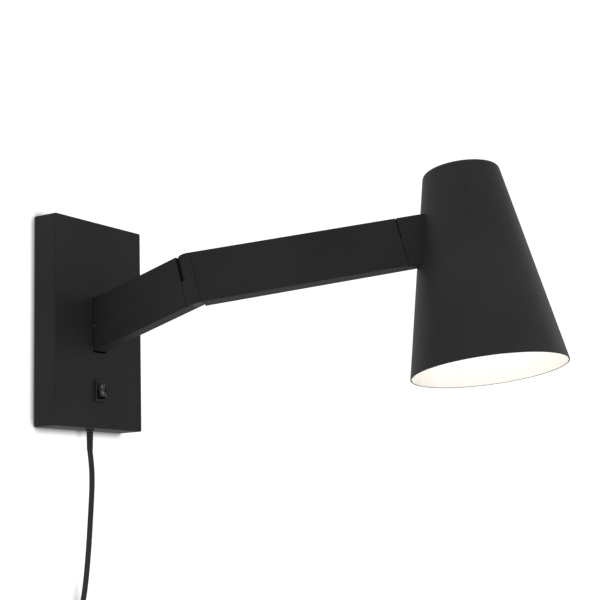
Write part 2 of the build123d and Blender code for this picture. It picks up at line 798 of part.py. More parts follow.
with BuildPart() as shade_screws:
    for side in (-1, 1):
        screw_height = side * shade_screw_spacing / 2
        near = [
            shade_wall_distance(screw_height + step, inside=True)
            for step in (-shade_screw_head_radius, shade_screw_head_radius)
        ]
        head_start = max(near) + shade_screw_seat
        screw_end = shade_wall_distance(screw_height, inside=False) - shade_screw_depth
        with BuildSketch(along(head_frame, screw_end, screw_height)):
            Circle(shade_screw_radius)
        extrude(amount=head_start - screw_end)
        with BuildSketch(along(head_frame, head_start, screw_height)):
            Circle(shade_screw_head_radius)
        extrude(amount=shade_screw_head_height)
write(shade_screws, "shade_screws")

with BuildPart() as shade_hollow:
    with BuildSketch(upright(shade_frame)):
        Polygon(
            (0, -shade_wall),
            (shade_inner_radius(shade_wall), -shade_wall),
            (shade_inner_radius(shade_height), -shade_height),
            (0, -shade_height),
            align=None,
        )
    revolve(axis=Axis(shade_frame.origin, shade_frame.z_dir))

strap_frame = upright(shade_frame, strap_turn)
strap_inset = strap_thickness / cos(cone_half_angle)

with BuildPart() as holder_strap:
    with BuildSketch(strap_frame):
        with Locations((0, -strap_level)):
            Rectangle(2 * shade_radius(strap_level), strap_thickness)
    extrude(amount=strap_width / 2, both=True)
    add(shade_hollow.part, mode=Mode.INTERSECT)
    for turn in strap_turns:
        with BuildSketch(upright(shade_frame, turn - strap_width_angle / 2)):
            leg_top = strap_level - strap_thickness / 2
            Polygon(
                (shade_inner_radius(leg_top), -leg_top),
                (shade_inner_radius(strap_leg_end), -strap_leg_end),
                (shade_inner_radius(strap_leg_end) - strap_inset, -strap_leg_end),
                (shade_inner_radius(leg_top) - strap_inset, -leg_top),
                align=None,
            )
        revolve(axis=Axis(shade_frame.origin, shade_frame.z_dir), revolution_arc=strap_width_angle)
    with BuildSketch(shade_frame.offset(-strap_level - strap_thickness)):
        Circle(nipple_radius)
    extrude(amount=2 * strap_thickness, mode=Mode.SUBTRACT)
    for turn in strap_turns:
        for level in strap_levels:
            with BuildSketch(strap_plane(level, turn)):
                Circle(strap_screw_radius)
            extrude(amount=2 * strap_stack, both=True, mode=Mode.SUBTRACT)
write(holder_strap, "holder_strap")

with BuildPart() as strap_screws:
    for turn in strap_turns:
        for level, head_radius in zip(strap_levels, strap_head_radii):
            with BuildSketch(strap_plane(level, turn)):
                Circle(strap_screw_radius)
            extrude(amount=-strap_stack - strap_screw_projection)
            with BuildSketch(strap_plane(level, turn)):
                Circle(head_radius)
            extrude(amount=strap_head_height)
write(strap_screws, "strap_screws")

# ---------------------------------------------------------------- lamp holder and bulb

holder_top = strap_level + strap_thickness / 2
body_top = holder_top + holder_cap_height
socket_mouth = body_top + holder_body_height
socket_floor = socket_mouth - socket_depth
nipple_top = strap_level - strap_thickness / 2 - holder_nut_height - nipple_projection
nipple_bottom = holder_top + nipple_depth

with BuildPart() as holder_nipple:
    with BuildSketch(shade_frame.offset(-nipple_bottom)):
        Circle(nipple_radius)
        Circle(nipple_bore, mode=Mode.SUBTRACT)
    extrude(amount=nipple_bottom - nipple_top)
write(holder_nipple, "holder_nipple")

with BuildPart() as holder_nut:
    with BuildSketch(shade_frame.offset(strap_thickness / 2 - strap_level)):
        RegularPolygon(holder_nut_radius, 6)
        Circle(nipple_radius, mode=Mode.SUBTRACT)
    extrude(amount=holder_nut_height)
write(holder_nut, "holder_nut")

with BuildPart() as holder_cap:
    with BuildSketch(upright(shade_frame)):
        with BuildLine():
            outline = Polyline(
                (nipple_radius, -body_top),
                (nipple_radius, -holder_top),
                (holder_shoulder_radius, -holder_top),
            )
            shoulder = TangentArc(outline @ 1, (holder_radius, -body_top), tangent=(1, -0.15))
            Line(shoulder @ 1, outline @ 0)
        make_face()
    revolve(axis=Axis(shade_frame.origin, shade_frame.z_dir))
write(holder_cap, "holder_cap")

with BuildPart() as holder_body:
    with BuildSketch(shade_frame.offset(-socket_mouth)):
        Circle(holder_radius)
    extrude(amount=holder_body_height)
    with BuildSketch(shade_frame.offset(-socket_mouth)):
        Circle(socket_radius)
    extrude(amount=socket_depth, mode=Mode.SUBTRACT)
write(holder_body, "holder_body")

ring_top = socket_mouth - holder_ring_setback

with BuildPart() as holder_ring:
    with BuildSketch(shade_frame.offset(-ring_top)):
        Circle(holder_ring_radius)
        Circle(holder_radius, mode=Mode.SUBTRACT)
    extrude(amount=-holder_ring_height)
write(holder_ring, "holder_ring")

with BuildPart() as socket_contact:
    with BuildSketch(shade_frame.offset(-socket_floor)):
        Rectangle(contact_width, contact_length)
    extrude(amount=-contact_thickness)
write(socket_contact, "socket_contact")

bulb_cap_top = socket_floor + contact_thickness
bulb_neck = bulb_cap_top + bulb_cap_length
bulb_end = bulb_neck + bulb_length

with BuildPart() as bulb_cap:
    with BuildSketch(shade_frame.offset(-bulb_cap_top - bulb_tip_height)):
        Circle(bulb_cap_radius)
    extrude(amount=bulb_tip_height - bulb_cap_length)
    with BuildSketch(shade_frame.offset(-bulb_cap_top - bulb_tip_height)):
        Circle(bulb_cap_radius)
    extrude(amount=bulb_tip_height, taper=bulb_tip_taper)
write(bulb_cap, "bulb_cap")

with BuildPart() as bulb_glass:
    with BuildSketch(upright(shade_frame)):
        with BuildLine():
            ball_centre = -bulb_end + bulb_radius
            ball_start = radians(bulb_flare_angle)
            ball = CenterArc((0, ball_centre), bulb_radius, -90, 90 + bulb_flare_angle)
            Spline(
                ball @ 1,
                (bulb_neck_radius, -bulb_neck),
                tangents=[(-sin(ball_start), cos(ball_start)), (-0.1, 1)],
            )
            Polyline((bulb_neck_radius, -bulb_neck), (0, -bulb_neck), (0, -bulb_end))
        make_face()
    revolve(axis=Axis(shade_frame.origin, shade_frame.z_dir))
write(bulb_glass, "bulb_glass")

# ---------------------------------------------------------------- switch

housing_back = plate_depth - cover_wall - housing_depth
rocker_hole_width = rocker_width + 2 * rocker_hole_gap
rocker_hole_length = rocker_length + 2 * rocker_hole_gap
rocker_frame = Plane(origin=(0, -rocker_pivot_depth, switch_height), x_dir=(0, -1, 0), z_dir=(-1, 0, 0))
throw = radians(rocker_throw)
rocker_rest = Plane(
    origin=rocker_frame.origin,
    x_dir=rocker_frame.x_dir * cos(throw) + rocker_frame.y_dir * sin(throw),
    z_dir=rocker_frame.z_dir,
)

with BuildPart() as switch_body:
    with BuildSketch(wall_frame.offset(plate_depth)):
        with Locations((0, switch_height)):
            RectangleRounded(switch_width, switch_length, bezel_corner_radius)
    extrude(amount=bezel_height)
    fillet(switch_body.faces().sort_by(Axis.Y)[0].edges(), bezel_edge_radius)
    with BuildSketch(wall_frame.offset(housing_back)):
        with Locations((0, switch_height)):
            Rectangle(housing_width, housing_length)
    extrude(amount=plate_depth - housing_back)
    with BuildSketch(wall_frame.offset(plate_depth + bezel_height - rocker_hole_depth)):
        with Locations((0, switch_height)):
            Rectangle(rocker_hole_width, rocker_hole_length)
    extrude(amount=rocker_hole_depth, mode=Mode.SUBTRACT)
    with BuildSketch(rocker_frame):
        Circle(trunnion_radius + running_gap)
    extrude(amount=rocker_width / 2 + trunnion_reach + trunnion_end_gap, both=True, mode=Mode.SUBTRACT)
write(switch_body, "switch_body")

with BuildPart() as switch_rocker:
    with BuildSketch(rocker_rest):
        half_rocker = rocker_length / 2
        Polygon(
            (rocker_valley, 0),
            (rocker_top, half_rocker - rocker_draft - rocker_bevel),
            (rocker_top - rocker_bevel, half_rocker - rocker_draft),
            (0, half_rocker),
            (rocker_base, half_rocker - rocker_foot_inset),
            (rocker_base, rocker_foot_inset - half_rocker),
            (0, -half_rocker),
            (rocker_top - rocker_bevel, rocker_draft - half_rocker),
            (rocker_top, rocker_draft + rocker_bevel - half_rocker),
            align=None,
        )
    extrude(amount=rocker_width / 2, both=True)
    with BuildSketch(rocker_rest):
        Circle(trunnion_radius)
    extrude(amount=rocker_width / 2 + trunnion_reach, both=True)
write(switch_rocker, "switch_rocker")

with BuildPart() as switch_terminals:
    with BuildSketch(wall_frame.offset(housing_back)):
        with Locations((0, switch_height)):
            with GridLocations(terminal_width, terminal_spacing, 1, 2):
                Rectangle(terminal_width, terminal_thickness)
    extrude(amount=-terminal_length)
write(switch_terminals, "switch_terminals")

# ---------------------------------------------------------------- wiring in the plate

block_centre = (block_x, block_z)

with BuildPart() as terminal_block:
    with BuildSketch(wall_frame.offset(bracket_thickness)):
        with Locations(block_centre):
            RectangleRounded(block_width, block_height, block_corner_radius)
    extrude(amount=block_depth)
    with BuildSketch(wall_frame.offset(bracket_thickness + block_depth)):
        with Locations(block_centre):
            with GridLocations(block_pitch_x, block_pitch_z, 3, 2):
                Circle(block_well_radius)
    extrude(amount=-block_well_depth, mode=Mode.SUBTRACT)
write(terminal_block, "terminal_block")

with BuildPart() as terminal_screws:
    with BuildSketch(wall_frame.offset(bracket_thickness + block_depth - block_well_depth)):
        with Locations(block_centre):
            with GridLocations(block_pitch_x, block_pitch_z, 3, 2):
                Circle(block_screw_radius)
    extrude(amount=block_screw_height)
write(terminal_screws, "terminal_screws")

cable_radius = cord_diameter / 2
clamp_front = relief_depth + cable_radius + clamp_cover

with BuildPart() as cord_clamp:
    with BuildSketch(wall_frame.offset(bracket_thickness)):
        with Locations((0, clamp_z)):
            Rectangle(clamp_width, clamp_height)
    extrude(amount=clamp_front - bracket_thickness)
    with BuildSketch(Plane(origin=(0, -relief_depth, clamp_z - clamp_height))):
        Circle(cable_radius)
    extrude(amount=2 * clamp_height, mode=Mode.SUBTRACT)
write(cord_clamp, "cord_clamp")

with BuildPart() as clamp_screws:
    with BuildSketch(wall_frame.offset(clamp_front)):
        with Locations((0, clamp_z)):
            with GridLocations(clamp_screw_spacing, clamp_height, 2, 1):
                Circle(clamp_screw_radius)
    extrude(amount=clamp_screw_height)
write(clamp_screws, "clamp_screws")

cable_end = (block_x, -relief_depth, block_z - block_height / 2)

with BuildPart() as cable_tail:
    with BuildLine() as cable_path:
        FilletPolyline(
            (0, -relief_depth, relief_collar_height + cover_wall - plate_height / 2),
            (0, -relief_depth, cable_turn_low),
            (block_x, -relief_depth, cable_turn_high),
            cable_end,
            radius=cable_bend_radius,
        )
    with BuildSketch(Plane(origin=cable_path.line @ 0, z_dir=cable_path.line % 0)):
        Circle(cable_radius)
    sweep()
write(cable_tail, "cable_tail")

with BuildPart() as arm1_wire:
    with BuildLine() as wire1_path:
        FilletPolyline(
            arm1_frame.from_local_coords((-root_tail, 0, wire1_root_height)),
            arm1_frame.from_local_coords((wire1_step_start, 0, wire1_root_height)),
            arm1_frame.from_local_coords((wire1_step_end, 0, wire1_elbow_height)),
            arm1_frame.from_local_coords((elbow_distance, 0, wire1_elbow_height)),
            arm1_frame.from_local_coords((elbow_distance, 0, pin_bottom + wire1_end_gap)),
            radius=wire1_bend_radius,
        )
    with BuildSketch(Plane(origin=wire1_path.line @ 0, z_dir=wire1_path.line % 0)):
        Circle(wire_radius)
    sweep()
write(arm1_wire, "arm1_wire")

with BuildPart() as arm2_wire:
    with BuildLine() as wire2_path:
        FilletPolyline(
            arm2_frame.from_local_coords((tenon_length, 0, wire2_elbow_height)),
            arm2_frame.from_local_coords((wire2_step_start, 0, wire2_elbow_height)),
            arm2_frame.from_local_coords((wire2_step_end, 0, wire2_spindle_height)),
            arm2_frame.from_local_coords((forearm_length + spindle_start, 0, 0)),
            radius=wire2_bend_radius,
        )
    with BuildSketch(Plane(origin=wire2_path.line @ 0, z_dir=wire2_path.line % 0)):
        Circle(wire_radius)
    sweep()
write(arm2_wire, "arm2_wire")

# ---------------------------------------------------------------- cord relief and cord

relief_tip = -plate_height / 2 - relief_length

with BuildPart() as cord_relief:
    with BuildSketch(upright(relief_plane)):
        Polygon(
            (0, cover_wall + relief_collar_height),
            (relief_collar_radius, cover_wall + relief_collar_height),
            (relief_collar_radius, cover_wall),
            (relief_hole_radius, cover_wall),
            (relief_hole_radius, -relief_flange_height),
            (relief_top_radius, -relief_flange_height - relief_chamfer),
            (cable_radius + relief_tip_wall, -relief_length),
            (0, -relief_length),
            align=None,
        )
    revolve(axis=Axis(relief_plane.origin, relief_plane.z_dir))
write(cord_relief, "cord_relief")

# The coil hangs in a plane along the wall: three turns wide and three deep, and the cord comes
# down to its left side and leaves it there again.
coil_half = coil_layers * cord_diameter / 2
coil_outer_turn = coil_turn_radius + cord_diameter
coil_x = coil_left + coil_outer_turn
coil_depth = coil_back + coil_half
cord_back_depth = coil_depth - cord_diameter
cord_front_depth = coil_depth + cord_diameter
plug_top = coil_z - plug_drop


def route_radii(points):
    """Arc radii for a route's corners: each as large as its two runs allow."""
    vectors = [Vector(*point) for point in points]
    radii = []
    for before, corner, after in zip(vectors, vectors[1:], vectors[2:]):
        shorter = min((corner - before).length, (after - corner).length)
        turn = radians((corner - before).get_angle(after - corner))
        radii.append(0.45 * shorter / tan(turn / 2))
    return radii


cord_route = [
    (0.0, -relief_depth, relief_tip),
    (1.6, -13.9, -134.0),
    (2.0, -14.0, -153.0),
    (0.6, -13.3, -180.0),
    (-1.2, -12.2, -214.0),
    (-3.9, -10.2, -250.0),
    (coil_left + 0.2, -cord_back_depth - 0.6, -276.0),
    (coil_left, -cord_back_depth, coil_z + coil_join),
]
cord_radii = route_radii(cord_route)

with BuildPart() as cord:
    with BuildLine() as cord_path:
        FilletPolyline(*cord_route, radius=cord_radii)
    with BuildSketch(Plane(origin=cord_path.line @ 0, z_dir=cord_path.line % 0)):
        Circle(cable_radius)
    sweep()
write(cord, "cord")

tail_route = [
    (coil_left, -cord_front_depth, coil_z - coil_join),
    (coil_left - 0.3, -cord_front_depth + 0.4, coil_z - coil_join - 8.0),
    (coil_left - 0.4, -cord_front_depth + 1.2, plug_top + 11.0),
    (coil_left - 0.4, -cord_front_depth + 1.4, plug_top),
]
tail_radii = route_radii(tail_route)

with BuildPart() as cord_tail:
    with BuildLine() as tail_path:
        FilletPolyline(*tail_route, radius=tail_radii)
    with BuildSketch(Plane(origin=tail_path.line @ 0, z_dir=tail_path.line % 0)):
        Circle(cable_radius)
    sweep()
write(cord_tail, "cord_tail")

coil_frame = Plane(origin=(coil_x, -coil_depth, coil_z), x_dir=(1, 0, 0), z_dir=(0, -1, 0))

with BuildPart() as cord_coil:
    with BuildSketch(upright(coil_frame)):
        with Locations((coil_turn_radius, 0)):
            RectangleRounded(2 * coil_half, 2 * coil_half, coil_corner_radius)
    revolve(axis=Axis(coil_frame.origin, coil_frame.z_dir))
write(cord_coil, "cord_coil")

tie_outer = 2 * (coil_half + tie_thickness)

with BuildPart() as cord_tie:
    with BuildSketch(upright(coil_frame, tie_turn)):
        with Locations((coil_turn_radius, 0)):
            RectangleRounded(tie_outer, tie_outer, coil_corner_radius + tie_thickness)
            RectangleRounded(2 * coil_half, 2 * coil_half, coil_corner_radius, mode=Mode.SUBTRACT)
    revolve(axis=Axis(coil_frame.origin, coil_frame.z_dir), revolution_arc=tie_arc)
write(cord_tie, "cord_tie")

# ---------------------------------------------------------------- plug

# The plug's frame looks back up the cord, with local x as near the world's X as it can be.
plug_up = (tail_path.line % 1) * -1
plug_side = Vector(1, 0, 0).cross(plug_up)
plug_frame = Plane(origin=tail_path.line @ 1, x_dir=plug_up.cross(plug_side), z_dir=plug_up)

with BuildPart() as plug_body:
    with BuildSketch(plug_frame):
        Circle(plug_neck_radius)
    with BuildSketch(plug_frame.offset(-plug_neck_length)):
        RectangleRounded(plug_width, plug_thickness, plug_corner_radius)
    loft()
    with BuildSketch(plug_frame.offset(-plug_neck_length)):
        RectangleRounded(plug_width, plug_thickness, plug_corner_radius)
    extrude(amount=plug_neck_length - plug_length)
    fillet(plug_body.faces().sort_by(Axis(plug_frame.origin, plug_frame.z_dir))[0].edges(), plug_edge_radius)
write(plug_body, "plug_body")

with BuildPart() as plug_blades:
    with BuildSketch(plug_frame.offset(-plug_length)):
        with GridLocations(blade_spacing, blade_width, 2, 1):
            Rectangle(blade_thickness, blade_width)
    extrude(amount=-blade_length)
write(plug_blades, "plug_blades")

# ---------------------------------------------------------------- printed checks

cord_and_tail = 0.0
for node, path, tube in (("cord", cord_path, cord), ("cord_tail", tail_path, cord_tail)):
    path_length = path.wires()[0].length
    section = pi * cable_radius**2
    print(node, "length", round(path_length, 1), "volume ratio", tube.part.volume / (section * path_length))
    cord_and_tail += path_length
print("cord radii", [round(radius) for radius in cord_radii])
print("tail radii", [round(radius) for radius in tail_radii])
print("cord in all", round(cord_and_tail + coil_layers**2 * 2 * pi * coil_turn_radius))
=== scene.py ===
"""Swing arm wall sconce: the looks of a plug-in wall lamp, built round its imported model. Metres."""

import json
from math import acos, atan2, cos, pi, radians, sin, sqrt

import bmesh
import bpy
from mathutils import Matrix, Vector


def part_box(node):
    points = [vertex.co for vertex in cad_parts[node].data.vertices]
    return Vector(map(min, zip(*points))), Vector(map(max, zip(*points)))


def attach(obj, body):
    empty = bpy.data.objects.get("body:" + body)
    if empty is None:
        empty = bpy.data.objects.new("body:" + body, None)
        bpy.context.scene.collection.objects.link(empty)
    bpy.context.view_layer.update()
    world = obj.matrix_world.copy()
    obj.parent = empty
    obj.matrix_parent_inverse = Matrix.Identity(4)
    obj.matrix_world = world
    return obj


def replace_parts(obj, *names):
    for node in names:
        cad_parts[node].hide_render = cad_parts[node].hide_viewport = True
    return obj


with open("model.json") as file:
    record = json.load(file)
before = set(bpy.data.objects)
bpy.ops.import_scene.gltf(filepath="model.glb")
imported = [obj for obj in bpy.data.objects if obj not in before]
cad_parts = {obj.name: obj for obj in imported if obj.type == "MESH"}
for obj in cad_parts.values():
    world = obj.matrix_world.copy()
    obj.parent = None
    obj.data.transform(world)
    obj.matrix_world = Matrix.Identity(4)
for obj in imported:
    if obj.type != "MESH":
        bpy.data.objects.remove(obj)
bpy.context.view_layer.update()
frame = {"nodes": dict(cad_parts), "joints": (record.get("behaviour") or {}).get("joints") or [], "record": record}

MM = 0.001

# ---------------------------------------------------------------- places taken from the frame

joints = {joint["name"]: joint for joint in frame["joints"]}
elbow = Vector(joints["elbow_swing"]["pos_m"])
arm_up = Vector(joints["elbow_swing"]["axis"]).normalized()
forearm = Vector(joints["head_turn"]["axis"]).normalized()

# The head's small turn about the forearm, the shade's tilt from square to it, and its cone.
HEAD_TWIST = radians(5)
SHADE_TILT = radians(7)
SHADE_DISTANCE = 278.2 * MM
SHADE_RISE = 63.4 * MM
SHADE_TOP_RADIUS = 37.5 * MM
SHADE_BOTTOM_RADIUS = 76.0 * MM
SHADE_HEIGHT = 201.5 * MM
SHADE_WALL = 1.2 * MM
SHADE_TOP_ROUND = 5.0 * MM
HOLDER_TOP = 17.75 * MM
HOLDER_CAP_HEIGHT = 14.0 * MM
HOLDER_HEIGHT = 40.0 * MM
HOLDER_RADIUS = 19.5 * MM
SOCKET_RADIUS = 13.6 * MM
SOCKET_DEPTH = 27.0 * MM
RING_SETBACK = 16.0 * MM
RING_RADIUS = 22.0 * MM
BULB_CAP_LENGTH = 26.0 * MM
BULB_CAP_RADIUS = 13.3 * MM
BULB_NECK_RADIUS = 14.5 * MM
BULB_RADIUS = 30.0 * MM
BULB_LENGTH = 83.0 * MM


def placed(origin, x_axis, z_axis):
    """The matrix of a right-handed frame at a point."""
    x_axis = x_axis.normalized()
    z_axis = z_axis.normalized()
    y_axis = z_axis.cross(x_axis)
    rows = Matrix((x_axis, y_axis, z_axis)).transposed().to_4x4()
    return Matrix.Translation(origin) @ rows


arm_side = arm_up.cross(forearm)
head_up = arm_up * cos(HEAD_TWIST) - arm_side * sin(HEAD_TWIST)
shade_up = head_up * cos(SHADE_TILT) + forearm * sin(SHADE_TILT)
shade_back = head_up * sin(SHADE_TILT) - forearm * cos(SHADE_TILT)
shade_top = elbow + forearm * SHADE_DISTANCE + shade_up * SHADE_RISE
shade_place = placed(shade_top, shade_back, shade_up)

# ---------------------------------------------------------------- camera

CAMERA_PLACE = Vector((-0.99680, -0.89721, -0.20763))
CAMERA_AZIMUTH = radians(-57.249)
CAMERA_ELEVATION = radians(-9.800)
CAMERA_ROLL = radians(-1.648)
CAMERA_LENS = 82.583


def add_camera():
    """The main view's camera: its back axis from azimuth and elevation, then a small roll."""
    azimuth, elevation, roll = CAMERA_AZIMUTH, CAMERA_ELEVATION, CAMERA_ROLL
    back = Vector((sin(azimuth) * cos(elevation), -cos(azimuth) * cos(elevation), sin(elevation)))
    level = Vector((cos(azimuth), sin(azimuth), 0))
    upward = back.cross(level)
    right = level * cos(roll) + upward * sin(roll)
    data = bpy.data.cameras.new("camera")
    data.sensor_width = 36
    data.lens = CAMERA_LENS
    data.clip_start = 0.05
    data.clip_end = 50
    camera = bpy.data.objects.new("camera", data)
    camera.matrix_world = placed(CAMERA_PLACE, right, back)
    bpy.context.scene.collection.objects.link(camera)
    bpy.context.scene.camera = camera


add_camera()

# ---------------------------------------------------------------- material helpers


def new_material(name):
    """A material with a Principled shader, and its nodes and links."""
    material = bpy.data.materials.new(name)
    material.use_nodes = True
    nodes = material.node_tree.nodes
    return material, nodes, material.node_tree.links, nodes["Principled BSDF"]


def noise(nodes, links, scale, detail=3.0, roughness=0.5):
    """Noise over the object's own coordinates, in metres, so its grain has a real size."""
    coordinates = nodes.new("ShaderNodeTexCoord")
    texture = nodes.new("ShaderNodeTexNoise")
    texture.inputs["Scale"].default_value = scale
    texture.inputs["Detail"].default_value = detail
    texture.inputs["Roughness"].default_value = roughness
    links.new(coordinates.outputs["Object"], texture.inputs["Vector"])
    return texture.outputs["Fac"]


def ramp(nodes, links, factor, low, high, start=0.3, end=0.7):
    """A colour between two colours, along a factor."""
    node = nodes.new("ShaderNodeValToRGB")
    node.color_ramp.elements[0].position = start
    node.color_ramp.elements[0].color = (*low, 1)
    node.color_ramp.elements[1].position = end
    node.color_ramp.elements[1].color = (*high, 1)
    links.new(factor, node.inputs["Fac"])
    return node.outputs["Color"]


def spread(nodes, links, factor, low, high):
    """A number between two numbers, along a factor."""
    node = nodes.new("ShaderNodeMapRange")
    node.inputs["From Min"].default_value = 0.3
    node.inputs["From Max"].default_value = 0.7
    node.inputs["To Min"].default_value = low
    node.inputs["To Max"].default_value = high
    links.new(factor, node.inputs["Value"])
    return node.outputs["Result"]


def bumped(nodes, links, factor, distance, strength, after=None):
    """A bump of a height in metres, on top of another where one is given."""
    node = nodes.new("ShaderNodeBump")
    node.inputs["Distance"].default_value = distance
    node.inputs["Strength"].default_value = strength
    links.new(factor, node.inputs["Height"])
    if after is not None:
        links.new(after, node.inputs["Normal"])
    return node.outputs["Normal"]


def powder_coat(name, colour, roughness, specular):
    """Matt black powder coat: a fine orange peel, a finer sparkle, and a little unevenness."""
    material, nodes, links, shader = new_material(name)
    broad = noise(nodes, links, 14, 2)
    grain = noise(nodes, links, 1500, 2)
    peel = noise(nodes, links, 420, 3)
    low = tuple(channel * 0.88 for channel in colour)
    high = tuple(channel * 1.14 for channel in colour)
    links.new(ramp(nodes, links, broad, low, high), shader.inputs["Base Color"])
    links.new(spread(nodes, links, grain, roughness - 0.05, roughness + 0.06), shader.inputs["Roughness"])
    shader.inputs["Specular IOR Level"].default_value = specular
    first = bumped(nodes, links, peel, 0.00006, 0.5)
    links.new(bumped(nodes, links, grain, 0.00003, 0.6, first), shader.inputs["Normal"])
    return material


def moulded_plastic(name, colour, roughness, grain_scale=900, specular=0.4):
    """Moulded plastic with a fine spark-eroded grain."""
    material, nodes, links, shader = new_material(name)
    broad = noise(nodes, links, 60, 2)
    grain = noise(nodes, links, grain_scale, 2)
    low = tuple(channel * 0.9 for channel in colour)
    high = tuple(min(1, channel * 1.1) for channel in colour)
    links.new(ramp(nodes, links, broad, low, high), shader.inputs["Base Color"])
    links.new(spread(nodes, links, grain, roughness - 0.05, roughness + 0.05), shader.inputs["Roughness"])
    shader.inputs["Specular IOR Level"].default_value = specular
    links.new(bumped(nodes, links, grain, 0.00004, 0.4), shader.inputs["Normal"])
    return material


def metal(name, colour, roughness, grain_scale=300):
    """Plated or cast metal with a slightly uneven finish."""
    material, nodes, links, shader = new_material(name)
    shader.inputs["Metallic"].default_value = 1.0
    broad = noise(nodes, links, 90, 3)
    grain = noise(nodes, links, grain_scale, 4, 0.6)
    low = tuple(channel * 0.82 for channel in colour)
    high = tuple(min(1, channel * 1.08) for channel in colour)
    links.new(ramp(nodes, links, broad, low, high), shader.inputs["Base Color"])
    links.new(spread(nodes, links, grain, roughness - 0.07, roughness + 0.09), shader.inputs["Roughness"])
    links.new(bumped(nodes, links, grain, 0.00005, 0.35), shader.inputs["Normal"])
    return material


def white_enamel(name):
    """The shade's white inside: smooth sprayed enamel."""
    material, nodes, links, shader = new_material(name)
    broad = noise(nodes, links, 20, 2)
    peel = noise(nodes, links, 500, 3)
    links.new(ramp(nodes, links, broad, (0.80, 0.79, 0.77), (0.86, 0.85, 0.83)), shader.inputs["Base Color"])
    links.new(spread(nodes, links, peel, 0.40, 0.50), shader.inputs["Roughness"])
    links.new(bumped(nodes, links, peel, 0.00004, 0.4), shader.inputs["Normal"])
    return material


def lit_glass(name):
    """Opal glass, lit from inside: even warm light with a faint cloudiness."""
    material, nodes, links, shader = new_material(name)
    cloud = noise(nodes, links, 45, 3)
    links.new(ramp(nodes, links, cloud, (0.92, 0.90, 0.86), (0.97, 0.95, 0.92)), shader.inputs["Base Color"])
    glow = ramp(nodes, links, cloud, (1.0, 0.91, 0.80), (1.0, 0.94, 0.85))
    links.new(glow, shader.inputs["Emission Color"])
    shader.inputs["Emission Strength"].default_value = BULB_GLOW
    shader.inputs["Roughness"].default_value = 0.25
    return material


def cord_jacket(name, colour):
    """A smooth PVC jacket with a faint uneven tone and a fine grain."""
    material, nodes, links, shader = new_material(name)
    broad = noise(nodes, links, 35, 2)
    grain = noise(nodes, links, 1200, 2)
    low = tuple(channel * 0.85 for channel in colour)
    high = tuple(channel * 1.2 for channel in colour)
    links.new(ramp(nodes, links, broad, low, high), shader.inputs["Base Color"])
    links.new(spread(nodes, links, grain, 0.42, 0.52), shader.inputs["Roughness"])
    shader.inputs["Specular IOR Level"].default_value = 0.35
    links.new(bumped(nodes, links, grain, 0.00003, 0.4), shader.inputs["Normal"])
    return material


BULB_GLOW = 4.5
BLACK = (0.0205, 0.0203, 0.0208)
# The lampshade takes the same black powder coat, made about a quarter lighter to stand in for light it catches:
# painted light.
LAMPSHADE_LIT_BLACK = (0.0262, 0.0256, 0.0264)

materials = {
    "plate_paint": powder_coat("plate_paint", BLACK, 0.56, 0.13),
    "arm_paint": powder_coat("arm_paint", BLACK, 0.54, 0.13),
    "shade_paint": powder_coat("shade_paint", LAMPSHADE_LIT_BLACK, 0.52, 0.17),
    "black_screw": metal("black_screw", (0.035, 0.035, 0.037), 0.42),
    "zinc_steel": metal("zinc_steel", (0.46, 0.47, 0.48), 0.36),
    "die_cast": metal("die_cast", (0.46, 0.46, 0.47), 0.5, 500),
    "brass": metal("brass", (0.72, 0.53, 0.26), 0.3),
    "nylon": moulded_plastic("nylon", (0.02, 0.02, 0.02), 0.5),
    "switch_plastic": moulded_plastic("switch_plastic", (0.018, 0.018, 0.0185), 0.5, specular=0.15),
    "rocker_plastic": moulded_plastic("rocker_plastic", (0.005, 0.005, 0.0055), 0.30, 1600, 0.3),
    "white_plastic": moulded_plastic("white_plastic", (0.72, 0.71, 0.68), 0.45),
    "tie_plastic": moulded_plastic("tie_plastic", (0.018, 0.018, 0.018), 0.75, 1400, 0.25),
    "plug_plastic": moulded_plastic("plug_plastic", (0.018, 0.018, 0.018), 0.44),
    "cord_pvc": cord_jacket("cord_pvc", (0.010, 0.010, 0.0105)),
    "wire_pvc": cord_jacket("wire_pvc", (0.62, 0.62, 0.60)),
    "holder_plastic": moulded_plastic("holder_plastic", (0.02, 0.02, 0.02), 0.38),
    "bulb_metal": metal("bulb_metal", (0.72, 0.72, 0.71), 0.25),
    "bulb_glass": lit_glass("bulb_glass"),
}
shade_inside = white_enamel("shade_inside")
mark_paint = moulded_plastic("mark_paint", (0.30, 0.30, 0.29), 0.5, specular=0.2)

for subpart in frame["record"]["subparts"]:
    cad_mesh = frame["nodes"][subpart["node"]].data
    cad_mesh.materials.clear()
    cad_mesh.materials.append(materials[subpart["material_slot"]])

# ---------------------------------------------------------------- mesh helpers


def add_piece(name, mesh, body, material_slot, extra_materials=()):
    """Links a mesh as a piece that rides on a body and takes a slot's finish."""
    mesh.materials.append(materials[material_slot])
    for material in extra_materials:
        mesh.materials.append(material)
    piece = bpy.data.objects.new(name, mesh)
    bpy.context.scene.collection.objects.link(piece)
    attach(piece, body)
    return piece


def smooth(mesh, angle=35):
    """Smooth shading, with edges sharper than an angle kept crisp."""
    mesh.shade_smooth()
    mesh.set_sharp_from_angle(angle=radians(angle))


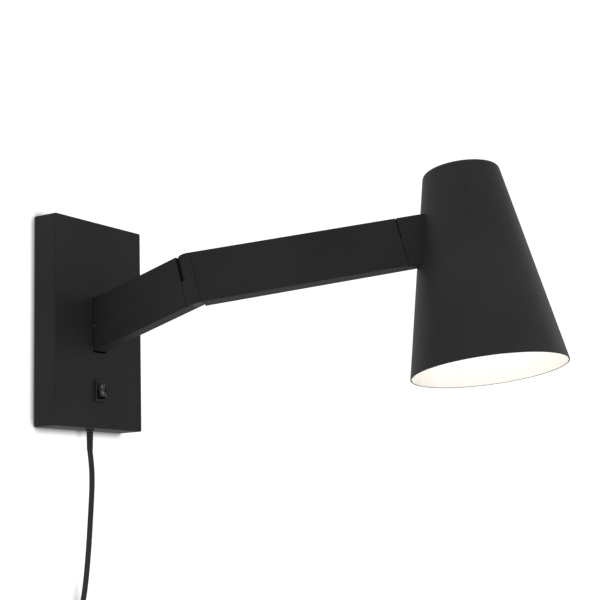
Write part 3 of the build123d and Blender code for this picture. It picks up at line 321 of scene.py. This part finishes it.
def rounded(points, radius, steps=5, closed=False):
    """An outline's points with each corner turned into an arc that both its sides are tangent to."""
    found = []
    count = len(points)
    for index, (x, y) in enumerate(points):
        corner = Vector((x, y))
        size = radius[index] if isinstance(radius, (list, tuple)) else radius
        if size == 0 or (not closed and index in (0, count - 1)):
            found.append((x, y))
            continue
        before = (Vector(points[index - 1]) - corner)
        after = (Vector(points[(index + 1) % count]) - corner)
        half = acos(max(-1, min(1, before.normalized().dot(after.normalized())))) / 2
        reach = size / max(1e-6, sin(half) / cos(half))
        start = corner + before.normalized() * reach
        end = corner + after.normalized() * reach
        bisector = (before.normalized() + after.normalized()).normalized()
        centre = corner + bisector * (size / sin(half))
        first = atan2(*(start - centre).yx)
        turn = atan2(*(end - centre).yx) - first
        turn = (turn + pi) % (2 * pi) - pi
        for step in range(steps + 1):
            angle = first + turn * step / steps
            found.append((centre.x + size * cos(angle), centre.y + size * sin(angle)))
    return found


def finished(name, work, place):
    """A mesh from a working one: its faces turned outward and its points moved onto a frame."""
    bmesh.ops.recalc_face_normals(work, faces=work.faces)
    work.transform(place)
    mesh = bpy.data.meshes.new(name)
    work.to_mesh(mesh)
    work.free()
    return mesh


def revolved(name, outline, place, steps=96, closed=True):
    """A surface turned about a frame's z axis. The outline holds (radius, height) points."""
    work = bmesh.new()
    rings = []
    for radius, height in outline:
        if radius < 1e-7:
            rings.append([work.verts.new((0, 0, height))])
        else:
            angles = [2 * pi * step / steps for step in range(steps)]
            rings.append([work.verts.new((radius * cos(a), radius * sin(a), height)) for a in angles])
    pairs = list(zip(rings, rings[1:]))
    if closed:
        pairs.append((rings[-1], rings[0]))
    for lower, upper in pairs:
        for step in range(steps):
            following = (step + 1) % steps
            corners = [lower[step % len(lower)], lower[following % len(lower)]]
            corners += [upper[following % len(upper)], upper[step % len(upper)]]
            unique = list(dict.fromkeys(corners))
            if len(unique) > 2:
                work.faces.new(unique)
    return finished(name, work, place)


def extruded(name, outline, low, high, place, bevel=0.0, segments=3):
    """A prism on a frame: the outline's (x, y) points between two heights, its edges bevelled."""
    work = bmesh.new()
    bottom = [work.verts.new((x, y, low)) for x, y in outline]
    top = [work.verts.new((x, y, high)) for x, y in outline]
    count = len(outline)
    work.faces.new(list(reversed(bottom)))
    work.faces.new(top)
    for index in range(count):
        following = (index + 1) % count
        work.faces.new((bottom[index], bottom[following], top[following], top[index]))
    bmesh.ops.recalc_face_normals(work, faces=work.faces)
    if bevel > 0:
        rims = [edge for edge in work.edges if abs(edge.verts[0].co.z - edge.verts[1].co.z) < 1e-9]
        bmesh.ops.bevel(work, geom=rims, offset=bevel, segments=segments, profile=0.5, affect="EDGES")
    work.transform(place)
    mesh = bpy.data.meshes.new(name)
    work.to_mesh(mesh)
    work.free()
    return mesh


def rounded_rectangle(half_x, half_y, radius, steps=6):
    """A rounded rectangle's points, anticlockwise."""
    points = []
    for corner, (side_x, side_y) in enumerate(((1, 1), (-1, 1), (-1, -1), (1, -1))):
        for step in range(steps + 1):
            angle = pi / 2 * (corner + step / steps)
            x = side_x * (half_x - radius) + radius * cos(angle)
            y = side_y * (half_y - radius) + radius * sin(angle)
            points.append((x, y))
    return points


def stacked(name, layers, place):
    """A skin through outlines with equal numbers of points, each at its own height, with flat ends."""
    work = bmesh.new()
    rings = [[work.verts.new((x, y, height)) for x, y in outline] for outline, height in layers]
    for lower, upper in zip(rings, rings[1:]):
        for index in range(len(lower)):
            following = (index + 1) % len(lower)
            work.faces.new((lower[index], lower[following], upper[following], upper[index]))
    work.faces.new(list(reversed(rings[0])))
    work.faces.new(rings[-1])
    return finished(name, work, place)


def joined(name, meshes):
    """One mesh from several."""
    work = bmesh.new()
    for mesh in meshes:
        work.from_mesh(mesh)
        bpy.data.meshes.remove(mesh)
    mesh = bpy.data.meshes.new(name)
    work.to_mesh(mesh)
    work.free()
    return mesh


# ---------------------------------------------------------------- shade

SHADE_SLOPE = (SHADE_BOTTOM_RADIUS - SHADE_TOP_RADIUS) / SHADE_HEIGHT
SHADE_WALL_ACROSS = SHADE_WALL * sqrt(1 + SHADE_SLOPE**2)
RIM_ROUND = 0.5 * MM


def cone_radius(level):
    """The shade's outer radius at a distance below its top."""
    return SHADE_TOP_RADIUS + SHADE_SLOPE * level


def add_shade():
    """A spun cone with a rounded top corner and a rounded rim, black outside and white inside."""
    outside = [
        (0, 0),
        (SHADE_TOP_RADIUS, 0),
        (SHADE_BOTTOM_RADIUS, -SHADE_HEIGHT),
        (SHADE_BOTTOM_RADIUS - SHADE_WALL_ACROSS, -SHADE_HEIGHT),
        (SHADE_TOP_RADIUS + SHADE_SLOPE * SHADE_WALL - SHADE_WALL_ACROSS, -SHADE_WALL),
        (0, -SHADE_WALL),
    ]
    radii = [0, SHADE_TOP_ROUND, RIM_ROUND, RIM_ROUND, SHADE_TOP_ROUND - SHADE_WALL, 0]
    mesh = revolved("shade_skin", rounded(outside, radii, 8), shade_place, 192, closed=False)
    piece = add_piece("shade_skin", mesh, "head", "shade_paint", (shade_inside,))
    to_local = shade_place.inverted()
    for face in mesh.polygons:
        centre = to_local @ face.center
        normal = to_local.to_3x3() @ face.normal
        faces_in = normal.dot(Vector((centre.x, centre.y, 0)).normalized()) + normal.z < 0
        face.material_index = 1 if faces_in and centre.z > RIM_ROUND - SHADE_HEIGHT else 0
    smooth(mesh, 50)
    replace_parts(piece, "shade")


add_shade()

CROSS_STEPS = 48
STRAP_TURN = radians(73)
STRAP_SCREW_LEVEL = 32.5 * MM
STRAP_RIVET_LEVEL = 52.5 * MM
STRAP_SCREW_HEAD = 2.7 * MM
STRAP_RIVET_HEAD = 1.9 * MM
STRAP_SHANK = 1.5 * MM
STRAP_STACK = 3.2 * MM


def circle(radius, count=CROSS_STEPS):
    """A circle's points."""
    angles = [2 * pi * step / count for step in range(count)]
    return [(radius * cos(angle), radius * sin(angle)) for angle in angles]


def cross(reach, half_width, count=CROSS_STEPS):
    """A cross's points, spaced evenly round it."""
    points = []
    for step in range(count):
        angle = 2 * pi * (step + 0.5) / count
        along_x = min(half_width / abs(sin(angle)), reach / abs(cos(angle)))
        along_y = min(half_width / abs(cos(angle)), reach / abs(sin(angle)))
        radius = max(along_x, along_y)
        points.append((radius * cos(angle), radius * sin(angle)))
    return points


def add_strap_screws():
    """Two cross-head screws and, below them, two rivets, through the shade into the strap's legs."""
    half_angle = atan2(SHADE_BOTTOM_RADIUS - SHADE_TOP_RADIUS, SHADE_HEIGHT)
    across = shade_up.cross(shade_back)
    meshes = []
    for turn in (STRAP_TURN, STRAP_TURN + pi):
        radial = shade_back * cos(turn) + across * sin(turn)
        outward = radial * cos(half_angle) + shade_up * sin(half_angle)
        for level, head in ((STRAP_SCREW_LEVEL, STRAP_SCREW_HEAD), (STRAP_RIVET_LEVEL, STRAP_RIVET_HEAD)):
            origin = shade_top - shade_up * level + radial * cone_radius(level)
            shank = circle(STRAP_SHANK)
            layers = [(shank, -STRAP_STACK), (shank, 0), (circle(head), 0), (circle(head), 0.15 * MM)]
            layers += [(circle(head * 0.93), 0.38 * MM), (circle(head * 0.78), 0.55 * MM)]
            if head == STRAP_SCREW_HEAD:
                layers += [(circle(head * 0.66), 0.63 * MM), (cross(1.55 * MM, 0.42 * MM), 0.66 * MM)]
                layers += [(cross(1.2 * MM, 0.3 * MM), -0.2 * MM)]
            else:
                layers += [(circle(head * 0.5), 0.65 * MM), (circle(head * 0.2), 0.7 * MM)]
            meshes.append(stacked("strap_screw", layers, placed(origin, radial.cross(shade_up), outward)))
    mesh = joined("strap_screw_heads", meshes)
    smooth(mesh, 40)
    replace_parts(add_piece("strap_screw_heads", mesh, "head", "shade_paint"), "strap_screws")


add_strap_screws()

# ---------------------------------------------------------------- lamp holder and bulb

BODY_TOP = HOLDER_TOP + HOLDER_CAP_HEIGHT
SOCKET_MOUTH = BODY_TOP + HOLDER_HEIGHT
BULB_CAP_TOP = SOCKET_MOUTH - SOCKET_DEPTH + 1.0 * MM
BULB_NECK = BULB_CAP_TOP + BULB_CAP_LENGTH
BULB_END = BULB_NECK + BULB_LENGTH
NIPPLE_RADIUS = 5.0 * MM


def add_holder():
    """The holder's domed cap, its ribbed body with a socket, and its ring nut."""
    dome = [
        (NIPPLE_RADIUS, -BODY_TOP),
        (NIPPLE_RADIUS, -HOLDER_TOP),
        (10.7 * MM, -HOLDER_TOP),
        (17.0 * MM, -HOLDER_TOP - 3.2 * MM),
        (HOLDER_RADIUS, -HOLDER_TOP - 8.5 * MM),
        (HOLDER_RADIUS, -BODY_TOP + 0.4 * MM),
        (HOLDER_RADIUS - 0.4 * MM, -BODY_TOP),
    ]
    radii = [0, 0.4 * MM, 2 * MM, 3 * MM, 3 * MM, 0.3 * MM, 0]
    mesh = revolved("holder_dome", rounded(dome, radii, 5), shade_place)
    smooth(mesh)
    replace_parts(add_piece("holder_dome", mesh, "head", "holder_plastic"), "holder_cap")

    thread_start = SOCKET_MOUTH - RING_SETBACK - 14 * MM
    outline = [(0, -BODY_TOP), (HOLDER_RADIUS, -BODY_TOP)]
    pitch = 2.5 * MM
    for turn in range(11):
        level = thread_start + turn * pitch
        outline += [(HOLDER_RADIUS, -level), (HOLDER_RADIUS - 0.7 * MM, -level - pitch / 2)]
    outline += [
        (HOLDER_RADIUS - 0.5 * MM, -SOCKET_MOUTH + 0.5 * MM),
        (HOLDER_RADIUS - 1.0 * MM, -SOCKET_MOUTH),
        (SOCKET_RADIUS + 0.6 * MM, -SOCKET_MOUTH),
        (SOCKET_RADIUS, -SOCKET_MOUTH + 0.6 * MM),
        (SOCKET_RADIUS, -SOCKET_MOUTH + SOCKET_DEPTH),
        (0, -SOCKET_MOUTH + SOCKET_DEPTH),
    ]
    mesh = revolved("holder_shell", outline, shade_place, closed=False)
    smooth(mesh, 60)
    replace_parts(add_piece("holder_shell", mesh, "head", "holder_plastic"), "holder_body")

    ring_level = SOCKET_MOUTH - RING_SETBACK
    work = bmesh.new()
    teeth = 48
    outer, inner = [], []
    for index in range(teeth * 2):
        angle = pi * index / teeth
        radius = RING_RADIUS - (0.6 * MM if index % 2 else 0)
        outer.append((radius * cos(angle), radius * sin(angle)))
        inner.append((HOLDER_RADIUS * cos(angle), HOLDER_RADIUS * sin(angle)))
    layers = [(outer, 0.0), (outer, -4.0 * MM), (inner, -4.0 * MM), (inner, 0.0)]
    rings = [[work.verts.new((x, y, height - ring_level)) for x, y in points] for points, height in layers]
    for low, high in zip(rings, rings[1:] + rings[:1]):
        for index in range(teeth * 2):
            following = (index + 1) % (teeth * 2)
            work.faces.new((low[index], low[following], high[following], high[index]))
    mesh = finished("holder_ring_nut", work, shade_place)
    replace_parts(add_piece("holder_ring_nut", mesh, "head", "holder_plastic"), "holder_ring")


def add_bulb():
    """An opal globe bulb: a round end that flares from its neck, and a cap with a rolled thread."""
    flare = radians(40)
    centre = -BULB_END + BULB_RADIUS
    outline = [(0, -BULB_END)]
    steps = 24
    for step in range(1, steps + 1):
        angle = -pi / 2 + (pi / 2 + flare) * step / steps
        outline.append((BULB_RADIUS * cos(angle), centre + BULB_RADIUS * sin(angle)))
    start = Vector(outline[-1])
    end = Vector((BULB_NECK_RADIUS, -BULB_NECK))
    pull = (end - start).length * 0.42
    first = start + Vector((-sin(flare), cos(flare))) * pull
    second = end - Vector((-0.1, 1)).normalized() * pull
    for step in range(1, 17):
        share = step / 16
        rest = 1 - share
        point = start * rest**3 + first * 3 * rest**2 * share + second * 3 * rest * share**2 + end * share**3
        outline.append((point.x, point.y))
    outline.append((0, -BULB_NECK))
    mesh = revolved("bulb_globe", outline, shade_place, 96, closed=False)
    smooth(mesh, 60)
    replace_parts(add_piece("bulb_globe", mesh, "head", "bulb_glass"), "bulb_glass")

    tip = 3.0 * MM
    outline = [(0, -BULB_CAP_TOP), (4.2 * MM, -BULB_CAP_TOP), (5.0 * MM, -BULB_CAP_TOP - 0.8 * MM)]
    outline += [(9.0 * MM, -BULB_CAP_TOP - tip + 0.6 * MM), (12.2 * MM, -BULB_CAP_TOP - tip)]
    thread = BULB_CAP_LENGTH - tip - 3.0 * MM
    steps = 60
    for step in range(steps + 1):
        level = BULB_CAP_TOP + tip + thread * step / steps
        wave = cos(2 * pi * step / steps * 5.5)
        outline.append((BULB_CAP_RADIUS - 0.55 * MM + 0.5 * MM * wave, -level))
    outline += [(BULB_CAP_RADIUS, -BULB_NECK + 1.5 * MM), (BULB_CAP_RADIUS, -BULB_NECK), (0, -BULB_NECK)]
    mesh = revolved("bulb_screw_cap", outline, shade_place, 64, closed=False)
    smooth(mesh, 50)
    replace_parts(add_piece("bulb_screw_cap", mesh, "head", "bulb_metal"), "bulb_cap")


add_holder()
add_bulb()

# ---------------------------------------------------------------- switch

PLATE_FRONT = 26.0 * MM
SWITCH_HEIGHT = -64.0 * MM
BEZEL_HALF = (7.5 * MM, 10.5 * MM)
HOUSING_HALF = (6.4 * MM, 9.45 * MM)
WELL_HALF = (5.35 * MM, 7.55 * MM)
ROCKER_HALF_WIDTH = 5.0 * MM
ROCKER_HALF_LENGTH = 7.2 * MM
ROCKER_THROW = radians(10)
ROCKER_VALLEY = 3.9 * MM
ROCKER_CREST = 5.2 * MM
ROCKER_SHOULDER = 4.6 * MM
ROCKER_UNDERSIDE = -3.0 * MM
ROCKER_EDGE = 0.35 * MM
ROCKER_CORNER = 0.5 * MM
ROCKER_PIN_RADIUS = 1.1 * MM
MARK_BELOW, MARK_ABOVE = -0.05 * MM, 0.03 * MM


def add_switch():
    """A bezel with a rolled lip round its well, a rocker with a soft valley, and its two marks."""
    def layer(half, grow, radius, height):
        outline = rounded_rectangle(half[0] + grow * MM, half[1] + grow * MM, radius * MM)
        return outline, height * MM

    place = placed(Vector((0, -PLATE_FRONT, SWITCH_HEIGHT)), Vector((1, 0, 0)), Vector((0, -1, 0)))
    layers = [
        layer(HOUSING_HALF, 0, 0.5, -12), layer(HOUSING_HALF, 0, 0.5, 0), layer(BEZEL_HALF, 0, 1.2, 0),
        layer(BEZEL_HALF, 0, 1.2, 1.4), layer(BEZEL_HALF, -0.08, 1.15, 1.7),
        layer(BEZEL_HALF, -0.3, 1.0, 1.92), layer(BEZEL_HALF, -0.6, 0.9, 2.0),
        layer(WELL_HALF, 0.7, 0.9, 2.0), layer(WELL_HALF, 0.3, 0.7, 1.9),
        layer(WELL_HALF, 0.06, 0.55, 1.6), layer(WELL_HALF, 0, 0.5, 1.2), layer(WELL_HALF, 0, 0.5, -7),
    ]
    mesh = stacked("switch_bezel", layers, place)
    smooth(mesh, 50)
    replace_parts(add_piece("switch_bezel", mesh, "base", "switch_plastic"), "switch_body")

    out = Vector((0, -cos(ROCKER_THROW), sin(ROCKER_THROW)))
    rocker = placed(Vector(joints["switch_rock"]["pos_m"]), out, Vector((-1, 0, 0)))
    end = ROCKER_HALF_LENGTH
    profile = [
        (ROCKER_VALLEY, 0),
        (ROCKER_CREST, end - 1.2 * MM),
        (ROCKER_SHOULDER, end - 0.6 * MM),
        (0, end),
        (ROCKER_UNDERSIDE, end - 1.8 * MM),
        (ROCKER_UNDERSIDE, 1.8 * MM - end),
        (0, -end),
        (ROCKER_SHOULDER, 0.6 * MM - end),
        (ROCKER_CREST, 1.2 * MM - end),
    ]
    radii = [2.0 * MM] + [ROCKER_EDGE] * 2 + [ROCKER_CORNER] * 4 + [ROCKER_EDGE] * 2
    outline = rounded(profile, radii, 4, closed=True)
    body = extruded("rocker", outline, -ROCKER_HALF_WIDTH, ROCKER_HALF_WIDTH, rocker, ROCKER_EDGE)
    pins = []
    for side in (-1, 1):
        section = circle(ROCKER_PIN_RADIUS, 32)
        start = side * (ROCKER_HALF_WIDTH - 0.2 * MM)
        tip = side * (ROCKER_HALF_WIDTH + 0.6 * MM)
        pins.append(stacked("rocker_pin", [(section, start), (section, tip)], rocker))
    mesh = joined("rocker_key", [body] + pins)
    smooth(mesh, 45)
    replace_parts(add_piece("rocker_key", mesh, "rocker", "rocker_plastic"), "switch_rocker")

    rise = Vector((ROCKER_CREST - ROCKER_VALLEY, end - 1.2 * MM)).normalized()
    turned = rocker.to_3x3()
    across = Vector((1, 0, 0))
    upper = placed(rocker @ Vector((4.55 * MM, 3.0 * MM, 0)), across, turned @ Vector((rise.y, -rise.x, 0)))
    lower = placed(rocker @ Vector((4.55 * MM, -3.0 * MM, 0)), across, turned @ Vector((rise.y, rise.x, 0)))
    bar = rounded_rectangle(0.45 * MM, 1.35 * MM, 0.2 * MM)
    on_mark = stacked("rocker_mark", [(bar, MARK_BELOW), (bar, MARK_ABOVE)], upper)
    outer, inner = 1.5 * MM, 0.75 * MM
    ring = [(outer, MARK_BELOW), (outer, MARK_ABOVE), (inner, MARK_ABOVE), (inner, MARK_BELOW)]
    off_mark = revolved("rocker_mark", ring, lower, 40)
    mesh = joined("rocker_marks", [on_mark, off_mark])
    mesh.materials.append(mark_paint)
    piece = bpy.data.objects.new("rocker_marks", mesh)
    bpy.context.scene.collection.objects.link(piece)
    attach(piece, "rocker")


add_switch()

# ---------------------------------------------------------------- cord

CORD_DIAMETER = 5.2 * MM
RELIEF_X, RELIEF_Y = 0.0, -13.0 * MM
RELIEF_LENGTH = 20.0 * MM
PLATE_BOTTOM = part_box("wall_cover")[0].z

cord_down = [
    (0.0, -0.013, -0.120),
    (0.0016, -0.0139, -0.134),
    (0.0020, -0.0140, -0.153),
    (0.0006, -0.0133, -0.180),
    (-0.0012, -0.0122, -0.214),
    (-0.0039, -0.0102, -0.250),
    (-0.0048, -0.0044, -0.276),
    (-0.0050, -0.0038, -0.293),
]
cord_out = [
    (-0.0050, -0.0142, -0.321),
    (-0.0053, -0.0138, -0.329),
    (-0.0054, -0.0130, -0.342),
    (-0.0054, -0.0128, -0.353),
]
# Nine turns, three wide and three deep, in the order in which each lies beside the last.
COIL_CENTRE = Vector((0.0280, -0.0090, -0.3070))
COIL_RADIUS = 27.8 * MM
COIL_TURNS = [(1, 1), (0, 1), (-1, 1), (-1, 0), (-1, -1), (0, -1), (0, 0), (1, 0), (1, -1)]
POINTS_A_TURN = 16
CHANGE = 0.25


def coil_points():
    """The turns' points: down the left side, along the bottom, up the right and back over the top.
    Over the last stretch of each turn the cord moves across into the next turn's place."""
    points = []
    inside_curve = cos(pi / POINTS_A_TURN)
    for turn, (ring, layer) in enumerate(COIL_TURNS):
        following = COIL_TURNS[min(turn + 1, len(COIL_TURNS) - 1)]
        for step in range(POINTS_A_TURN):
            share = step / POINTS_A_TURN
            change = max(0.0, (share - 1 + CHANGE) / CHANGE)
            swell = 1 + 0.2 * sin(pi * change)
            across = (ring + (following[0] - ring) * change) * swell
            depth = (layer + (following[1] - layer) * change) * swell
            angle = pi + 2 * pi * share
            radius = (COIL_RADIUS + across * CORD_DIAMETER) / inside_curve
            points.append((
                COIL_CENTRE.x + radius * cos(angle),
                COIL_CENTRE.y + depth * CORD_DIAMETER,
                COIL_CENTRE.z + radius * sin(angle),
            ))
    return points


def add_cord():
    """The whole lead as one smooth curve: down from the plate, nine tied turns, and on to the plug."""
    points = cord_down + coil_points() + cord_out
    data = bpy.data.curves.new("flex", "CURVE")
    data.dimensions = "3D"
    data.resolution_u = 6
    data.bevel_depth = CORD_DIAMETER / 2
    data.bevel_resolution = 5
    data.use_fill_caps = True
    spline = data.splines.new("NURBS")
    spline.points.add(len(points) - 1)
    for point, place in zip(spline.points, points):
        point.co = (*place, 1)
    spline.order_u = 3
    spline.use_endpoint_u = True
    data.materials.append(materials["cord_pvc"])
    piece = bpy.data.objects.new("flex", data)
    bpy.context.scene.collection.objects.link(piece)
    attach(piece, "base")
    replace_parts(piece, "cord", "cord_coil", "cord_tail")
    return piece


flex = add_cord()


def add_relief():
    """A soft tapered sleeve with a flange inside the plate, its lower end thinned in rings."""
    outline = [
        (6.5 * MM, 3.5 * MM),
        (6.5 * MM, 1.5 * MM),
        (4.5 * MM, 1.5 * MM),
        (4.5 * MM, -0.9 * MM),
        (4.2 * MM, -1.2 * MM),
        (3.3 * MM, -1.8 * MM),
    ]
    rings = 7
    length = RELIEF_LENGTH - 1.8 * MM
    for ring in range(rings):
        start = 1.8 * MM + length * (ring + 0.15) / rings
        end = 1.8 * MM + length * (ring + 0.55) / rings
        radius = 3.3 * MM - 0.33 * MM * (ring + 0.35) / rings
        outline += [(radius, -start), (radius - 0.2 * MM, -start - 0.25 * MM)]
        outline += [(radius - 0.22 * MM, -end), (radius - 0.03 * MM, -end - 0.25 * MM)]
    outline += [(2.9 * MM, -RELIEF_LENGTH), (2.4 * MM, -RELIEF_LENGTH), (2.4 * MM, 3.5 * MM)]
    place = Matrix.Translation((RELIEF_X, RELIEF_Y, PLATE_BOTTOM))
    mesh = revolved("relief_sleeve", outline, place, 48)
    smooth(mesh, 40)
    piece = add_piece("relief_sleeve", mesh, "base", "cord_pvc")
    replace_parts(piece, "cord_relief")
    return piece


relief = add_relief()

# ---------------------------------------------------------------- stage and light

WALL_SEEN = 1.12
WALL_LIGHT = 0.74
CONTACT_REACH = 0.011
WORLD_LIGHT = 0.60
FLOOR_GLOW = 0.35
FLOOR_HEIGHT = -0.62
STAGE_LEFT, STAGE_RIGHT = -4.0, 6.0
STAGE_FRONT, STAGE_BACK = -4.0, 4.0
WALL_TOP = 3.0
WALL_BEHIND = 0.6 * MM
# AO_DARK, AO_OPEN and the darkest value map the wall's ambient occlusion, within CONTACT_REACH of the plate, to a
# painted contact shadow.
AO_DARK, AO_OPEN = 0.46, 0.90
CONTACT_SHADOW_DARKEST = 0.10


def pale_floor():
    """A pale matt floor."""
    material, _, _, shader = new_material("floor")
    shader.inputs["Base Color"].default_value = (0.55, 0.55, 0.55, 1)
    shader.inputs["Roughness"].default_value = 0.9
    shader.inputs["Specular IOR Level"].default_value = 0.0
    shader.inputs["Emission Color"].default_value = (1, 1, 1, 1)
    shader.inputs["Emission Strength"].default_value = FLOOR_GLOW
    return material


def pale_wall():
    """A white wall that glows evenly, its glow darkened by ambient occlusion where something stands close against
    it: a painted contact shadow. It isn't there when seen from behind."""
    material, nodes, links, shader = new_material("wall")
    # Ambient occlusion close to the plate darkens the wall's glow: a painted contact shadow.
    painted_shadow_ao = nodes.new("ShaderNodeAmbientOcclusion")
    painted_shadow_ao.inputs["Distance"].default_value = CONTACT_REACH
    painted_shadow_ao.samples = 32
    shade = nodes.new("ShaderNodeMapRange")
    shade.inputs["From Min"].default_value = AO_DARK
    shade.inputs["From Max"].default_value = AO_OPEN
    shade.inputs["To Min"].default_value = CONTACT_SHADOW_DARKEST
    shade.inputs["To Max"].default_value = WALL_SEEN
    links.new(painted_shadow_ao.outputs["AO"], shade.inputs["Value"])
    path = nodes.new("ShaderNodeLightPath")
    strength = nodes.new("ShaderNodeMix")
    strength.data_type = "FLOAT"
    strength.inputs["A"].default_value = WALL_LIGHT
    links.new(path.outputs["Is Camera Ray"], strength.inputs["Factor"])
    links.new(shade.outputs["Result"], strength.inputs["B"])
    light = nodes.new("ShaderNodeEmission")
    links.new(strength.outputs["Result"], light.inputs["Strength"])
    geometry = nodes.new("ShaderNodeNewGeometry")
    clear = nodes.new("ShaderNodeBsdfTransparent")
    mix = nodes.new("ShaderNodeMixShader")
    links.new(geometry.outputs["Backfacing"], mix.inputs["Fac"])
    links.new(light.outputs["Emission"], mix.inputs[1])
    links.new(clear.outputs["BSDF"], mix.inputs[2])
    links.new(mix.outputs["Shader"], nodes["Material Output"].inputs["Surface"])
    nodes.remove(shader)
    return material


def add_sheet(name, corners, material):
    """A flat stage sheet from its corners, anticlockwise as seen from its front."""
    mesh = bpy.data.meshes.new(name)
    mesh.from_pydata(corners, [], [range(len(corners))])
    mesh.materials.append(material)
    sheet = bpy.data.objects.new(name, mesh)
    bpy.context.scene.collection.objects.link(sheet)


def add_stage():
    """A pale wall behind the plate and a pale floor below."""
    wall = [
        (STAGE_LEFT, WALL_BEHIND, FLOOR_HEIGHT),
        (STAGE_RIGHT, WALL_BEHIND, FLOOR_HEIGHT),
        (STAGE_RIGHT, WALL_BEHIND, WALL_TOP),
        (STAGE_LEFT, WALL_BEHIND, WALL_TOP),
    ]
    add_sheet("wall", wall, pale_wall())
    floor = [
        (STAGE_LEFT, STAGE_FRONT, FLOOR_HEIGHT),
        (STAGE_RIGHT, STAGE_FRONT, FLOOR_HEIGHT),
        (STAGE_RIGHT, STAGE_BACK, FLOOR_HEIGHT),
        (STAGE_LEFT, STAGE_BACK, FLOOR_HEIGHT),
    ]
    add_sheet("floor", floor, pale_floor())


def add_area(name, place, target, size, power, colour=(1, 1, 1)):
    """A square soft light that faces a point."""
    data = bpy.data.lights.new(name, "AREA")
    data.shape = "SQUARE"
    data.size = size
    data.energy = power
    data.color = colour
    lamp = bpy.data.objects.new(name, data)
    back = Vector(place) - Vector(target)
    lamp.matrix_world = placed(Vector(place), Vector((0, 0, 1)).cross(back), back)
    bpy.context.scene.collection.objects.link(lamp)


def add_world():
    """White to the eye, and dim as light."""
    world = bpy.data.worlds.new("studio")
    bpy.context.scene.world = world
    world.use_nodes = True
    nodes, links = world.node_tree.nodes, world.node_tree.links
    light = nodes["Background"]
    light.inputs["Color"].default_value = (0.96, 0.98, 1, 1)
    light.inputs["Strength"].default_value = WORLD_LIGHT
    seen = nodes.new("ShaderNodeBackground")
    seen.inputs["Color"].default_value = (1, 1, 1, 1)
    seen.inputs["Strength"].default_value = 1.0
    path = nodes.new("ShaderNodeLightPath")
    mix = nodes.new("ShaderNodeMixShader")
    links.new(path.outputs["Is Camera Ray"], mix.inputs["Fac"])
    links.new(light.outputs["Background"], mix.inputs[1])
    links.new(seen.outputs["Background"], mix.inputs[2])
    links.new(mix.outputs["Shader"], nodes["World Output"].inputs["Surface"])


add_stage()
add_world()
add_area("key", (0.75, -3.0, 0.45), (0.05, -0.1, -0.05), 1.2, 5)
add_area("side", (2.2, -1.2, 0.6), (0.15, -0.25, 0), 1.0, 3, (0.86, 0.90, 1))
add_area("low", (-2.0, -1.1, -0.8), (0.05, -0.1, 0), 0.8, 30)
bpy.context.scene.view_settings.view_transform = "Standard"
